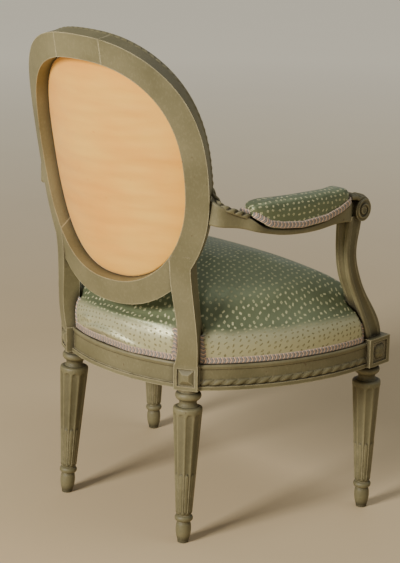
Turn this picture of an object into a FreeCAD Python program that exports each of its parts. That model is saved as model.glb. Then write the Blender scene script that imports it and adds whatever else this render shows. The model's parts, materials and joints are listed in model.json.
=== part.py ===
# Upholstered armchair with an oval curved back, a cabriolet fauteuil.
# Frame: +Z up, the sitter faces -Y, the sitter's right arm is at -X, the floor is z = 0.
# Millimetres and degrees throughout.
import FreeCAD, Part
import math
import os
import Sketcher
from FreeCAD import Placement, Rotation, Vector

SIZES = {
    # Seat rails, seen from above as arcs
    "rail_bottom": 277, "rail_height": 45, "rail_thick": 24, "moulding_step": 3,
    "bead_height": 6.5, "fillet_height": 7, "ribbon_height": 10,
    "back_arc_radius": 360, "back_arc_out": 12.7, "side_arc_radius": 430, "side_arc_out": 19.5,
    "front_arc_radius": 1232, "front_arc_out": 12.45,
    "tenon_thick": 9, "tenon_height": 28, "tenon_length": 12, "joint_gap": 0.2,
    # Front legs and their blocks
    "front_leg_x": 269.5, "front_leg_y": -204, "front_block_size": 54, "front_block_height": 51,
    "rosette_panel": 38, "panel_depth": 2.5, "rosette_radius": 14,
    # Rear legs, their blocks and the stiles above them
    "rear_leg_x": 143, "rear_leg_y": 119, "rear_block_size": 42, "rear_block_turn": 29,
    "rear_foot_back": 17, "rear_foot_out": 7.4,
    "diamond_panel": 31, "diamond_base": 26, "diamond_flat": 11, "diamond_rise": 4.5,
    "stile_depth": 30, "stile_foot_width": 40, "stile_waist_width": 35, "stile_neck_width": 37,
    "stile_head_width": 35, "stile_waist_rise": 100, "stile_neck_rise": 40, "stile_head_rise": 46,
    "stile_waist_x": 153.5, "stile_neck_x": 149.5, "stile_head_x": 152.5,
    # Turned leg: radii and heights above the floor
    "sole_radius": 9.5, "foot_radius": 12.7, "foot_height": 33, "ankle_radius": 11,
    "ring_radius": 14.4, "ring_bottom": 38.5, "ring_top": 49.5, "shaft_foot_radius": 12.2,
    "shaft_radius": 23.2, "shaft_top": 241, "neck_radius": 15, "neck_height": 251,
    "collar_radius": 22.7, "collar_bottom": 256.5, "collar_top": 271, "leg_top_radius": 19,
    "flute_count": 10, "flute_radius": 4.6, "flute_bottom": 124, "flute_top": 226,
    "cable_bottom": 55,
    # Oval back frame: raked and curved round the sitter
    "oval_y": 206.6, "oval_height": 639, "oval_rake": 9.9, "oval_curve": 383,
    "oval_half_width": 208.2, "oval_half_height": 235.3, "oval_border": 35, "oval_border_top": 41.8,
    "oval_power": 2.37, "oval_egg": 0.04, "oval_thick": 31, "oval_bead": 3, "oval_bead_width": 9,
    "crest_half_width": 53, "lower_rail_half_width": 133,
    # Arms
    "arm_width": 25, "arm_seat_width": 40, "arm_seat_thick": 11, "arm_front_x": 268,
    "pad_width": 47, "pad_top": 613, "pad_rear_y": 80, "pad_front_y": -121,
    "scroll_radius": 19.5, "scroll_width": 38, "scroll_y": -154, "scroll_z": 565.5, "scroll_eye": 6,
    "support_foot_y": -200, "support_foot_size": 37, "support_waist_size": 27, "support_head_size": 31,
    "support_groove": 3.5,
    # Upholstery
    "cover_thick": 1.6, "soft_gap": 0.3, "gimp_thick": 1.8, "gimp_height": 11, "seat_inset": 4,
    "seat_side_height": 55, "seat_crown_height": 152,
    "back_cloth_depth": 22, "back_cloth_thick": 1.2, "back_pad_rise": 24, "back_pad_lap": 8,
    "webbing_width": 50, "webbing_pitch": 72, "webbing_thick": 1.5, "webbing_inset": 9,
    "hessian_thick": 1.0, "brace_length": 90, "brace_thick": 22, "brace_height": 30,
}

doc = FreeCAD.newDocument("fauteuil")
sheet = doc.addObject("Spreadsheet::Sheet", "sizes")
for row, (alias, number) in enumerate(SIZES.items(), 1):
    sheet.set("A%d" % row, str(number))
    sheet.setAlias("A%d" % row, alias)
doc.recompute()


class SheetValues:
    """Reads the sheet's cells by name for the shapes that are worked out in code."""

    def __getattr__(self, alias):
        return float(sheet.get(alias))


S = SheetValues()


# Helpers for bound features
def linked(text):
    """The same expression with the sheet's name before each of its cells."""
    words = []
    word = ""
    for letter in text + " ":
        if letter.isalnum() or letter in "_.":
            word += letter
            continue
        words.append("sizes." + word if word in SIZES else word)
        words.append(letter)
        word = ""
    return "".join(words).strip()


def value(text):
    return float(sheet.evalExpression(linked(text)))


def bind(item, **expressions):
    for path, text in expressions.items():
        item.setExpression(path.replace("__", "."), linked(text))
    return item


def body_sketch(body, role, name):
    sketch = body.newObject("Sketcher::SketchObject", name)
    plane = [part for part in body.Origin.OriginFeatures if part.Role == role][0]
    sketch.AttachmentSupport = (plane, "")
    sketch.MapMode = "FlatFace"
    return sketch


def arc_between(start, end, radius, side):
    """Arc from start to end that bulges to its left (side 1) or its right (side -1)."""
    chord = end - start
    half = chord.Length / 2
    rise = math.sqrt(max(radius * radius - half * half, 0.0))
    normal = Vector(-chord.y, chord.x, 0).normalize() * side
    centre = (start + end) * 0.5 - normal * rise
    first, last = (start, end) if side < 0 else (end, start)
    angles = [math.atan2(point.y - centre.y, point.x - centre.x) for point in (first, last)]
    circle = Part.Circle(centre, Vector(0, 0, 1), radius)
    last_angle = angles[1] if angles[1] > angles[0] else angles[1] + 2 * math.pi
    return Part.ArcOfCircle(circle, angles[0], last_angle)


def draw_profile(sketch, corners, arcs=None):
    """Closed outline through corners given as expressions; arcs maps a side to its radius and bulge."""
    arcs = arcs or {}
    points = [Vector(*(value(text) for text in pair), 0) for pair in corners]
    starts = []
    for index, point in enumerate(points):
        following = points[(index + 1) % len(points)]
        if index in arcs:
            radius, side = arcs[index]
            edge = arc_between(point, following, value(radius), side)
            starts.append((sketch.addGeometry(edge, False), 1 if side < 0 else 2))
        else:
            starts.append((sketch.addGeometry(Part.LineSegment(point, following), False), 1))
    for index, (edge, vertex) in enumerate(starts):
        before, vertex_before = starts[index - 1]
        sketch.addConstraint(Sketcher.Constraint("Coincident", before, 3 - vertex_before, edge, vertex))
        for kind, text, place in zip(("DistanceX", "DistanceY"), corners[index], points[index][:2]):
            if text == "0":
                axis = -2 if kind == "DistanceX" else -1
                sketch.addConstraint(Sketcher.Constraint("PointOnObject", edge, vertex, axis))
                continue
            number = sketch.addConstraint(Sketcher.Constraint(kind, -1, 1, edge, vertex, place))
            sketch.setExpression("Constraints[%d]" % number, linked(text))
        if index in arcs:
            radius = arcs[index][0]
            number = sketch.addConstraint(
                Sketcher.Constraint("Radius", edge, value(radius)))
            sketch.setExpression("Constraints[%d]" % number, linked(radius))
    return sketch


def revolve_profile(body, sketch, name, start=0.0, sweep=360.0):
    turning = body.newObject("PartDesign::Revolution", name)
    turning.Profile = sketch
    turning.ReferenceAxis = (sketch, ["V_Axis"])
    turning.Angle = sweep
    sketch.Visibility = False
    body.Placement.Rotation = Rotation(Vector(0, 0, 1), start)
    return turning


def solid_of(name, shape, placement=None):
    """A document object for a shape that is worked out in code."""
    feature = doc.addObject("Part::Feature", name)
    feature.Shape = shape
    if placement:
        feature.Placement = placement
    return feature


def cut(name, base, tools):
    for index, tool in enumerate(tools):
        step = doc.addObject("Part::Cut", name if index == len(tools) - 1 else "%s_cut_%d" % (name, index))
        step.Base = base
        step.Tool = tool
        base = step
    return base


def fuse(name, items):
    joined = doc.addObject("Part::MultiFuse", name)
    joined.Shapes = items
    joined.Refine = True
    return joined


def mirrored(name, source):
    twin = doc.addObject("Part::Mirroring", name)
    twin.Source = source
    twin.Normal = Vector(1, 0, 0)
    return twin


NODES = []


def keep(node, item):
    """Marks an object as a finished piece, whose label is the piece's name."""
    item.Label = node
    NODES.append(item)
    return item


def keep_pair(node, right):
    keep(node + "_right", right)
    keep(node + "_left", mirrored(node + "_left", right))


# Plan of the seat: four arcs, one to each rail, that pass just outside the legs' axes
RAIL_TOP = S.rail_bottom + S.rail_height


def circles_meet(first, first_radius, second, second_radius, side):
    """Crossing of two circles, to the left (1) or right (-1) of the line between their centres."""
    line = second - first
    along = (first_radius ** 2 - second_radius ** 2 + line.Length ** 2) / (2 * line.Length)
    across = math.sqrt(first_radius ** 2 - along ** 2)
    ahead = Vector(line).normalize()
    return first + ahead * along + Vector(-ahead.y, ahead.x, 0) * across * side


REAR_LEG = Vector(-S.rear_leg_x, S.rear_leg_y, 0)
FRONT_LEG = Vector(-S.front_leg_x, S.front_leg_y, 0)
BACK_REACH = S.back_arc_radius - S.back_arc_out
FRONT_REACH = S.front_arc_radius - S.front_arc_out
SIDE_REACH = S.side_arc_radius - S.side_arc_out
BACK_CENTRE = Vector(0, REAR_LEG.y - math.sqrt(BACK_REACH ** 2 - REAR_LEG.x ** 2), 0)
FRONT_CENTRE = Vector(0, FRONT_LEG.y + math.sqrt(FRONT_REACH ** 2 - FRONT_LEG.x ** 2), 0)
SIDE_CENTRE = circles_meet(REAR_LEG, SIDE_REACH, FRONT_LEG, SIDE_REACH, 1)
SEAT_MIDDLE = (BACK_CENTRE.y + S.back_arc_radius + FRONT_CENTRE.y - S.front_arc_radius) / 2


def plan_wire(inset, height):
    """The seat's outline, drawn in from the rails' outer faces by inset."""
    side, back, front = (S.side_arc_radius - inset, S.back_arc_radius - inset, S.front_arc_radius - inset)
    rear = circles_meet(SIDE_CENTRE, side, BACK_CENTRE, back, -1)
    fore = circles_meet(SIDE_CENTRE, side, FRONT_CENTRE, front, -1)
    if fore.y > 0 or fore.x > 0:
        fore = circles_meet(SIDE_CENTRE, side, FRONT_CENTRE, front, 1)
    middle = SIDE_CENTRE + ((rear + fore) * 0.5 - SIDE_CENTRE).normalize() * side
    mirror = [Vector(-point.x, point.y, 0) for point in (rear, middle, fore)]
    lift = Vector(0, 0, height)
    edges = [
        Part.Arc(rear + lift, middle + lift, fore + lift),
        Part.Arc(fore + lift, Vector(0, FRONT_CENTRE.y - front, height), mirror[2] + lift),
        Part.Arc(mirror[2] + lift, mirror[1] + lift, mirror[0] + lift),
        Part.Arc(mirror[0] + lift, Vector(0, BACK_CENTRE.y + back, height), rear + lift),
    ]
    return Part.Wire([edge.toShape() for edge in edges])


def plan_slab(inset, bottom, top):
    return Part.Face(plan_wire(inset, bottom)).extrude(Vector(0, 0, top - bottom))


def arc_band(centre, outer, inner, bottom, top, start, end):
    """Upright curved strip between two radii about centre, from angle start to end."""
    corners = [Vector(radius, 0, height) for radius, height in
               ((inner, bottom), (outer, bottom), (outer, top), (inner, top), (inner, bottom))]
    band = Part.Face(Part.makePolygon(corners)).revolve(Vector(), Vector(0, 0, 1), end - start)
    band.rotate(Vector(), Vector(0, 0, 1), start)
    band.translate(centre)
    return band


def bearing(centre, x, y):
    return math.degrees(math.atan2(y - centre.y, x - centre.x)) % 360


# Each rail's arc: its centre, its radius and the bearings of the blocks at its two ends
ARCS = {
    "back": (BACK_CENTRE, S.back_arc_radius, bearing(BACK_CENTRE, S.rear_leg_x, S.rear_leg_y),
             bearing(BACK_CENTRE, -S.rear_leg_x, S.rear_leg_y), "rear_block_size", "rear_block_size"),
    "right": (SIDE_CENTRE, S.side_arc_radius, bearing(SIDE_CENTRE, -S.rear_leg_x, S.rear_leg_y),
              bearing(SIDE_CENTRE, -S.front_leg_x, S.front_leg_y), "rear_block_size", "front_block_size"),
    "front": (FRONT_CENTRE, S.front_arc_radius, bearing(FRONT_CENTRE, -S.front_leg_x, S.front_leg_y),
              bearing(FRONT_CENTRE, S.front_leg_x, S.front_leg_y), "front_block_size", "front_block_size"),
}


def tenons(name, gap=0.0):
    """A rail's tongue, long enough to stand out at both ends into the blocks."""
    centre, radius, start, end, first_block, last_block = ARCS[name]
    middle = radius - S.moulding_step - S.rail_thick / 2
    half = S.tenon_thick / 2 + gap
    low = S.rail_bottom + (S.rail_height - S.tenon_height) / 2 - gap
    ends = []
    for bearing_at_block, block, way in ((start, first_block, 1), (end, last_block, -1)):
        short = float(sheet.get(block)) / 2 - S.tenon_length - gap
        ends.append(bearing_at_block + way * math.degrees(short / radius))
    return arc_band(centre, middle + half, middle - half, low, low + S.tenon_height + 2 * gap, *ends)


# Turned leg
def turned_leg(name, placement):
    """Tapered round leg: collar, neck, fluted shaft cabled below, ring and small foot."""
    body = doc.addObject("PartDesign::Body", name)
    profile = body_sketch(body, "XZ_Plane", name + "_profile")
    draw_profile(profile, [
        ("0", "-2"),
        ("sole_radius", "-2"),
        ("sole_radius + 0.4", "4"),
        ("foot_radius", "foot_height"),
        ("ankle_radius", "ring_bottom"),
        ("ring_radius - 2", "ring_bottom"),
        ("ring_radius - 2", "ring_top"),
        ("shaft_foot_radius", "ring_top"),
        ("shaft_radius", "shaft_top - 5"),
        ("shaft_radius - 3", "shaft_top"),
        ("neck_radius + 2.5", "neck_height - 5"),
        ("neck_radius + 2.5", "collar_bottom"),
        ("collar_radius - 5", "collar_bottom"),
        ("collar_radius - 5", "collar_top"),
        ("leg_top_radius", "collar_top + 2"),
        ("leg_top_radius", "rail_bottom + 2"),
        ("0", "rail_bottom + 2"),
    ], {
        2: ("60", -1),
        5: ("(ring_top - ring_bottom) / 2 + 0.6", -1),
        8: ("5.5", -1),
        10: ("(collar_bottom - neck_height + 5) / 2 + 1.5", 1),
        12: ("(collar_top - collar_bottom) / 2 + 0.6", -1),
    })
    turning = revolve_profile(body, profile, name + "_turning")
    doc.recompute()
    solid_volume = turning.Shape.Volume
    flute = leg_loft(body, "PartDesign::SubtractiveLoft", name + "_flute", [
        ("cable_bottom", 1, 0.35),
        ("flute_top", 1, 0.35),
        ("flute_top + 5", 0.35, 0.4),
    ])
    flutes = round_the_leg(body, flute)
    doc.recompute()
    if flutes.Shape.Volume > solid_volume - 1:
        raise RuntimeError("the flutes cut nothing")
    cable = leg_loft(body, "PartDesign::AdditiveLoft", name + "_cable", [
        ("cable_bottom - 1", 0.66, -0.6),
        ("flute_bottom - 4", 0.66, -0.6),
        ("flute_bottom", 0.25, -0.7),
    ])
    body.Tip = round_the_leg(body, cable)
    body.Placement = placement
    doc.recompute()
    return body


def leg_loft(body, kind, name, rows):
    """Round groove or rod along the shaft; a row is a height, a share of the flute and its shift outwards."""
    sketches = []
    for index, (height, share, shift) in enumerate(rows):
        reach = "shaft_foot_radius + (shaft_radius - shaft_foot_radius) * (%s - ring_top)" % height
        reach += " / (shaft_top - ring_top)"
        full = "flute_radius * (%s) / shaft_radius" % reach
        sketch = body_sketch(body, "XY_Plane", "%s_%d" % (name, index))
        sketch.setExpression("AttachmentOffset.Base.z", linked(height))
        draw_circle(sketch, "%s + %s * (%s)" % (reach, shift, full), "%s * (%s)" % (share, full))
        sketches.append(sketch)
    loft = body.newObject(kind, name)
    loft.Profile = sketches[0]
    loft.Sections = sketches[1:]
    loft.Ruled = True
    return loft


def round_the_leg(body, feature):
    """Repeats a groove or rod for every flute."""
    pattern = body.newObject("PartDesign::PolarPattern", feature.Name + "_round")
    pattern.Originals = [feature]
    axis = [part for part in body.Origin.OriginFeatures if part.Role == "Z_Axis"][0]
    pattern.Axis = (axis, [""])
    pattern.Angle = 360
    return bind(pattern, Occurrences="flute_count")


def draw_circle(sketch, reach, radius):
    reach_now, radius_now = (value(text) for text in (reach, radius))
    circle = sketch.addGeometry(Part.Circle(Vector(reach_now, 0, 0), Vector(0, 0, 1), radius_now), False)
    sketch.addConstraint(Sketcher.Constraint("PointOnObject", circle, 3, -1))
    for kind, text, now in (("DistanceX", reach, reach_now), ("Radius", radius, radius_now)):
        where = (-1, 1, circle, 3, now) if kind == "DistanceX" else (circle, now)
        number = sketch.addConstraint(Sketcher.Constraint(kind, *where))
        sketch.setExpression("Constraints[%d]" % number, linked(text))


# Front legs: each turned leg carries a square block with a rosette on its two outer faces
def front_leg():
    leg = turned_leg("front_turning", Placement(Vector(-S.front_leg_x, S.front_leg_y, 0), Rotation()))
    block = doc.addObject("Part::Box", "front_block")
    bind(block, Length="front_block_size", Width="front_block_size", Height="front_block_height",
         Placement__Base__x="-front_leg_x - front_block_size / 2",
         Placement__Base__y="front_leg_y - front_block_size / 2", Placement__Base__z="rail_bottom")
    panels = []
    rosettes = []
    half = "(front_block_size - rosette_panel) / 2"
    for side in ("outer", "front"):
        panel = doc.addObject("Part::Box", "rosette_panel_" + side)
        thin, wide = ("Length", "Width") if side == "outer" else ("Width", "Length")
        bind(panel, **{thin: "2 * panel_depth", wide: "rosette_panel", "Height": "rosette_panel"})
        disc = doc.addObject("Part::Cone", "rosette_" + side)
        bind(disc, Radius1="rosette_radius", Radius2="rosette_radius * 0.35", Height="panel_depth + 1",
             Placement__Base__z="rail_bottom + front_block_height / 2")
        low = "rail_bottom + (front_block_height - rosette_panel) / 2"
        if side == "outer":
            bind(panel, Placement__Base__x="-front_leg_x - front_block_size / 2 - panel_depth",
                 Placement__Base__y="front_leg_y - front_block_size / 2 + " + half,
                 Placement__Base__z=low)
            disc.Placement.Rotation = Rotation(Vector(0, 1, 0), -90)
            bind(disc, Placement__Base__x="-front_leg_x - front_block_size / 2 + panel_depth",
                 Placement__Base__y="front_leg_y")
        else:
            bind(panel, Placement__Base__y="front_leg_y - front_block_size / 2 - panel_depth",
                 Placement__Base__x="-front_leg_x - front_block_size / 2 + " + half,
                 Placement__Base__z=low)
            disc.Placement.Rotation = Rotation(Vector(1, 0, 0), 90)
            bind(disc, Placement__Base__y="front_leg_y - front_block_size / 2 + panel_depth",
                 Placement__Base__x="-front_leg_x")
        panels.append(panel)
        rosettes.append(disc)
    recessed = cut("front_block_recessed", block, panels)
    whole = fuse("front_leg_whole", [leg, recessed] + rosettes)
    sockets = [solid_of("front_socket_" + name, tenons(name, S.joint_gap)) for name in ("right", "front")]
    return cut("front_leg_right", whole, [floor_cut(), support_peg("peg_hole", "joint_gap")] + sockets), block


def support_peg(name, gap):
    """Round tenon that holds the arm support on the block."""
    peg = doc.addObject("Part::Cylinder", name)
    bind(peg, Radius="tenon_thick / 2 + " + gap, Height="tenon_length + 3 + " + gap,
         Placement__Base__x="-front_leg_x", Placement__Base__y="support_foot_y",
         Placement__Base__z="rail_bottom + front_block_height - tenon_length - " + gap)
    return peg


def floor_cut():
    below = doc.addObject("Part::Box", "below_floor")
    below.Length = below.Width = 1000
    below.Height = 50
    below.Placement.Base = Vector(-500, -500, -50)
    return below


# Rear uprights: leg, block, stile and the side of the oval are one length of wood
def leaning(foot, top):
    """Placement of a leg that stands at foot and leans so that its axis passes through top."""
    return Placement(foot, Rotation(Vector(0, 0, 1), top - foot))


BACK_PLACE = Placement(Vector(0, S.oval_y, S.oval_height), Rotation(Vector(1, 0, 0), -S.oval_rake))


def on_back(across, up, depth=0.0):
    """A point on the curved back, depth in front of its rear face, in the chair's frame."""
    turn = math.asin(across / S.oval_curve)
    radius = S.oval_curve - depth
    return BACK_PLACE.multVec(Vector(radius * math.sin(turn), radius * math.cos(turn) - S.oval_curve, up))


def oval_wire(inset, plane, points=24):
    """Egg-shaped outline, fuller than an ellipse, drawn in by inset and seen from the curve's axis."""
    half_width = S.oval_half_width - inset
    half_height = S.oval_half_height - inset * S.oval_border_top / S.oval_border
    outline = []
    for step in range(points):
        angle = 2 * math.pi * step / points
        across, up = (math.copysign(abs(part) ** (2 / S.oval_power), part)
                      for part in (math.cos(angle), math.sin(angle)))
        across *= half_width * (1 + S.oval_egg * math.sin(angle))
        turn = math.asin(across / S.oval_curve)
        outline.append(Vector(S.oval_curve * math.tan(turn), 0, half_height * up))
    curve = Part.BSplineCurve()
    curve.interpolate(Points=outline, PeriodicFlag=True)
    for number, pole in enumerate(curve.getPoles(), 1):
        curve.setPole(number, Vector(pole.x * (1 + plane / S.oval_curve), plane, pole.z))
    return Part.Wire(curve.toShape())


def oval_prism(inset):
    """Block whose walls run straight to the curve's axis, so that they stand square to the curve."""
    return Part.makeLoft([oval_wire(inset, -200), oval_wire(inset, 20)], True, True)


def shell(front, rear=0.0):
    """Curved slab of the back between two depths in front of the frame's rear face."""
    tall = 4 * S.oval_half_height
    tubes = [Part.makeCylinder(S.oval_curve - depth, tall, Vector(0, -S.oval_curve, -tall / 2))
             for depth in (rear, front)]
    return tubes[0].cut(tubes[1])


def span(half_width, bottom, top):
    return Part.makeBox(2 * half_width, 400, top - bottom, Vector(-half_width, -300, bottom))


def oval_ring(outer_inset, inner_inset, front, rear=0.0):
    return oval_prism(outer_inset).cut(oval_prism(inner_inset)).common(shell(front, rear))


OVAL_TALL = 2 * S.oval_half_height
RING = oval_ring(0, S.oval_border, S.oval_thick).fuse(
    oval_ring(0, S.oval_bead_width, S.oval_thick + S.oval_bead, S.oval_thick - 1)).removeSplitter()


def oval_tongue(gap=0.0):
    """Middle third of the oval's frame, which the joints' tenons are cut from."""
    third = S.oval_thick / 3
    return oval_ring(S.oval_border / 3 - gap, S.oval_border * 2 / 3 + gap, 2 * third + gap, third - gap)


def crest_zone(extra=0.0):
    return span(S.crest_half_width + extra, 0, OVAL_TALL)


def lower_zone(extra=0.0):
    return span(S.lower_rail_half_width + extra, -OVAL_TALL, 0)


def section(centre, width, depth, turn, lean=0.0):
    """Level rectangle whose rear edge is centred on centre, turned about the vertical."""
    corners = [(-width / 2, 0), (width / 2, 0), (width / 2, -depth), (-width / 2, -depth)]
    turning = Rotation(Vector(0, 0, 1), turn).multiply(Rotation(Vector(1, 0, 0), -lean))
    points = [centre + turning.multVec(Vector(x, y, 0)) for x, y in corners]
    return Part.makePolygon(points + points[:1])


def block_face(height):
    """Middle of the rear block's outer face at a height, on the sitter's right."""
    turn = math.radians(S.rear_block_turn)
    reach = S.rear_block_size / 2
    return Vector(-S.rear_leg_x - reach * math.sin(turn), S.rear_leg_y + reach * math.cos(turn), height)


def stile_shape():
    """The upright between the block and the oval, narrow at its waist and bowed with the back."""
    foot = block_face(RAIL_TOP - 1)
    waist_height = RAIL_TOP + S.stile_waist_rise
    neck_height = waist_height + S.stile_neck_rise
    head_height = neck_height + S.stile_head_rise
    head_up = (head_height - S.oval_height) / math.cos(math.radians(S.oval_rake))
    head = on_back(-S.stile_head_x, head_up)
    rows = [(foot, S.stile_foot_width, S.rear_block_turn, 0.0)]
    for x, height, width in ((S.stile_waist_x, waist_height, S.stile_waist_width),
                             (S.stile_neck_x, neck_height, S.stile_neck_width)):
        part = (height - foot.z) / (head.z - foot.z)
        turn = S.rear_block_turn + (math.degrees(math.asin(S.stile_head_x / S.oval_curve))
                                    - S.rear_block_turn) * part
        rows.append((Vector(-x, foot.y + (head.y - foot.y) * part ** 1.6, height), width, turn,
                     S.oval_rake * part * 0.7))
    rows.append((head, S.stile_head_width, math.degrees(math.asin(S.stile_head_x / S.oval_curve)),
                 S.oval_rake))
    wires = []
    for point, width, turn, lean in rows:
        part = (point.z - foot.z) / (head.z - foot.z)
        depth = S.stile_depth + (S.oval_thick - 1 - S.stile_depth) * part
        wires.append(section(point, width, depth, turn, lean))
    return Part.makeLoft(wires, True)


def rear_upright():
    foot = Vector(-S.rear_leg_x - S.rear_foot_out, S.rear_leg_y + S.rear_foot_back, 0)
    top = Vector(-S.rear_leg_x, S.rear_leg_y, S.rail_bottom)
    leg = turned_leg("rear_turning", leaning(foot, top))
    turned = Placement(Vector(-S.rear_leg_x, S.rear_leg_y, S.rail_bottom),
                       Rotation(Vector(0, 0, 1), S.rear_block_turn))
    block = doc.addObject("Part::Box", "rear_block")
    bind(block, Length="rear_block_size", Width="rear_block_size", Height="rail_height")
    corner = Vector(-S.rear_block_size / 2, -S.rear_block_size / 2, 0)
    block.Placement = turned.multiply(Placement(corner, Rotation()))
    panel = doc.addObject("Part::Box", "diamond_panel_cut")
    bind(panel, Length="diamond_panel", Width="2 * panel_depth", Height="diamond_panel")
    low = (S.rail_height - S.diamond_panel) / 2
    panel.Placement = turned.multiply(Placement(
        Vector(-S.diamond_panel / 2, S.rear_block_size / 2 - S.panel_depth, low), Rotation()))
    diamond = doc.addObject("Part::Wedge", "diamond_point")
    bind(diamond, Xmin="-diamond_base / 2", Xmax="diamond_base / 2", X2min="-diamond_flat / 2",
         X2max="diamond_flat / 2", Zmin="-diamond_base / 2", Zmax="diamond_base / 2",
         Z2min="-diamond_flat / 2", Z2max="diamond_flat / 2", Ymax="diamond_rise")
    diamond.Placement = turned.multiply(Placement(
        Vector(0, S.rear_block_size / 2 - S.panel_depth, S.rail_height / 2), Rotation()))
    recessed = cut("rear_block_recessed", block, [panel])
    stile = solid_of("stile", stile_shape())
    side = RING.cut(crest_zone(S.joint_gap)).cut(lower_zone(S.joint_gap))
    side = side.common(Part.makeBox(400, 500, 2 * OVAL_TALL, Vector(-400, -400, -OVAL_TALL)))
    oval_side = solid_of("oval_side", side, BACK_PLACE)
    whole = fuse("rear_upright_whole", [leg, recessed, diamond, stile, oval_side])
    tongue = oval_tongue(S.joint_gap)
    tongue_sockets = [solid_of(name, tongue.common(zone(S.tenon_length + S.joint_gap)), BACK_PLACE)
                      for name, zone in (("crest_socket", crest_zone), ("lower_socket", lower_zone))]
    sockets = [solid_of("rear_socket_" + name, tenons(name, S.joint_gap)) for name in ("back", "right")]
    lower_room = solid_of("lower_rail_room", RING.common(lower_zone(S.joint_gap)), BACK_PLACE)
    opening = solid_of("oval_opening", oval_prism(S.oval_border), BACK_PLACE)
    tools = [floor_cut()] + sockets + tongue_sockets + [lower_room, opening]
    return cut("rear_upright_right", whole, tools), block


front_right, front_block_box = front_leg()
keep_pair("front_leg", front_right)
rear_right, rear_block_box = rear_upright()
keep_pair("rear_upright", rear_right)


# Crest and lower rail of the oval
for node, zone in (("crest_rail", crest_zone), ("lower_back_rail", lower_zone)):
    tongue = oval_tongue().common(zone(S.tenon_length))
    keep(node, solid_of(node, RING.common(zone()).fuse(tongue).removeSplitter(), BACK_PLACE))


# Seat rails: a moulded section swept along each arc, tenoned into the blocks
def seat_rail(node, arc, ribbon, blocks):
    centre, radius, start, end = ARCS[arc][:4]
    reach = {"back": "back_arc_radius", "right": "side_arc_radius", "front": "front_arc_radius"}[arc]
    body = doc.addObject("PartDesign::Body", node + "_body")
    sketch = body_sketch(body, "XZ_Plane", node + "_section")
    face = reach + " - moulding_step"
    corners = [
        (reach + " - rail_thick", "rail_bottom"),
        (reach, "rail_bottom"),
        (reach, "rail_bottom + fillet_height"),
        (face, "rail_bottom + fillet_height + 1"),
    ]
    arcs = {}
    if ribbon:
        arcs[len(corners)] = ("ribbon_height * 0.75", -1)
        corners.append((face, "rail_bottom + fillet_height + 1.5"))
        corners.append((face, "rail_bottom + fillet_height + 1.5 + ribbon_height"))
    arcs[len(corners)] = ("bead_height * 0.56", -1)
    corners.append((face, "rail_bottom + rail_height - bead_height"))
    corners.append((face, "rail_bottom + rail_height"))
    corners.append((reach + " - rail_thick", "rail_bottom + rail_height"))
    draw_profile(sketch, corners, arcs)
    revolve_profile(body, sketch, node + "_sweep", start, end - start)
    body.Placement.Base = centre
    trimmed = cut(node + "_trimmed", body, blocks)
    return fuse(node, [trimmed, solid_of(node + "_tenons", tenons(arc))])


doc.recompute()
front_block_left = mirrored("front_block_other", front_block_box)
rear_block_left = mirrored("rear_block_other", rear_block_box)
keep("seat_rail_back", seat_rail("seat_rail_back", "back", False, [rear_block_box, rear_block_left]))
keep("seat_rail_front", seat_rail("seat_rail_front", "front", True, [front_block_box, front_block_left]))
side_rail = seat_rail("seat_rail_right", "right", True, [front_block_box, rear_block_box])
keep_pair("seat_rail", side_rail)


# Arms: each leaves the oval's side, dips under its pad and ends in a scroll
# Rows from back to front: y, x, underside above the floor, thickness
ARM_ROWS = [
    (131, -188, 573, 50),
    (124, -204, 572, 40),
    (112, -216, 570, 32),
    (88, -229, 566, 25),
    (74, -235, 562, 18),
    (56, -241, 557, S.arm_seat_thick),
    (34, -247, 552, S.arm_seat_thick),
    (-5, -256, 548, S.arm_seat_thick),
    (-57, -264, 549, 14),
    (-90, -267, 552, 20),
    (-112, -S.arm_front_x, 551, 29),
    (-131, -S.arm_front_x, 548, 35),
    (-150, -S.arm_front_x, 547, 37),
]


def rounded_section(centre, width, height, turn, radius, groove=0.0):
    """Upright rounded rectangle across a run that is turned about the vertical; groove hollows its sides."""
    half, rise = width / 2 - radius, height / 2 - radius
    turning = Rotation(Vector(0, 0, 1), turn)
    edges = []
    for index, (x, z) in enumerate(((half, -rise), (half, rise), (-half, rise), (-half, -rise))):
        angles = [math.radians(90 * index - 90 + 45 * step) for step in range(3)]
        corner = [Vector(x + radius * math.cos(angle), 0, z + radius * math.sin(angle)) for angle in angles]
        edges.append(corner)
    wire = []
    for index, corner in enumerate(edges):
        placed = [centre + turning.multVec(point) for point in corner]
        following = centre + turning.multVec(edges[(index + 1) % 4][0])
        wire.append(Part.Arc(*placed).toShape())
        if not groove:
            wire.append(Part.LineSegment(placed[2], following).toShape())
            continue
        side = following - placed[2]
        near, far = placed[2] + side * 0.18, placed[2] + side * 0.82
        middle = (near + far) * 0.5
        hollow = middle + (centre - middle).normalize() * groove
        wire.append(Part.LineSegment(placed[2], near).toShape())
        wire.append(Part.Arc(near, hollow, far).toShape())
        wire.append(Part.LineSegment(far, following).toShape())
    return Part.Wire(wire)


def row_turn(rows, index):
    """Heading of the arm at a row, measured from straight ahead."""
    before = rows[max(index - 1, 0)]
    after = rows[min(index + 1, len(rows) - 1)]
    return math.degrees(math.atan2(before[1] - after[1], before[0] - after[0]))


def arm_loft():
    """The arm's wood, wider under its pad."""
    wires = []
    for index, (y, x, low, thick) in enumerate(ARM_ROWS):
        width = S.arm_seat_width if S.pad_front_y < y < S.pad_rear_y else S.arm_width
        centre = Vector(x, y, low + thick / 2)
        wires.append(rounded_section(centre, width, thick, -row_turn(ARM_ROWS, index), 4.0))
    return Part.makeLoft(wires, True)


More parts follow.
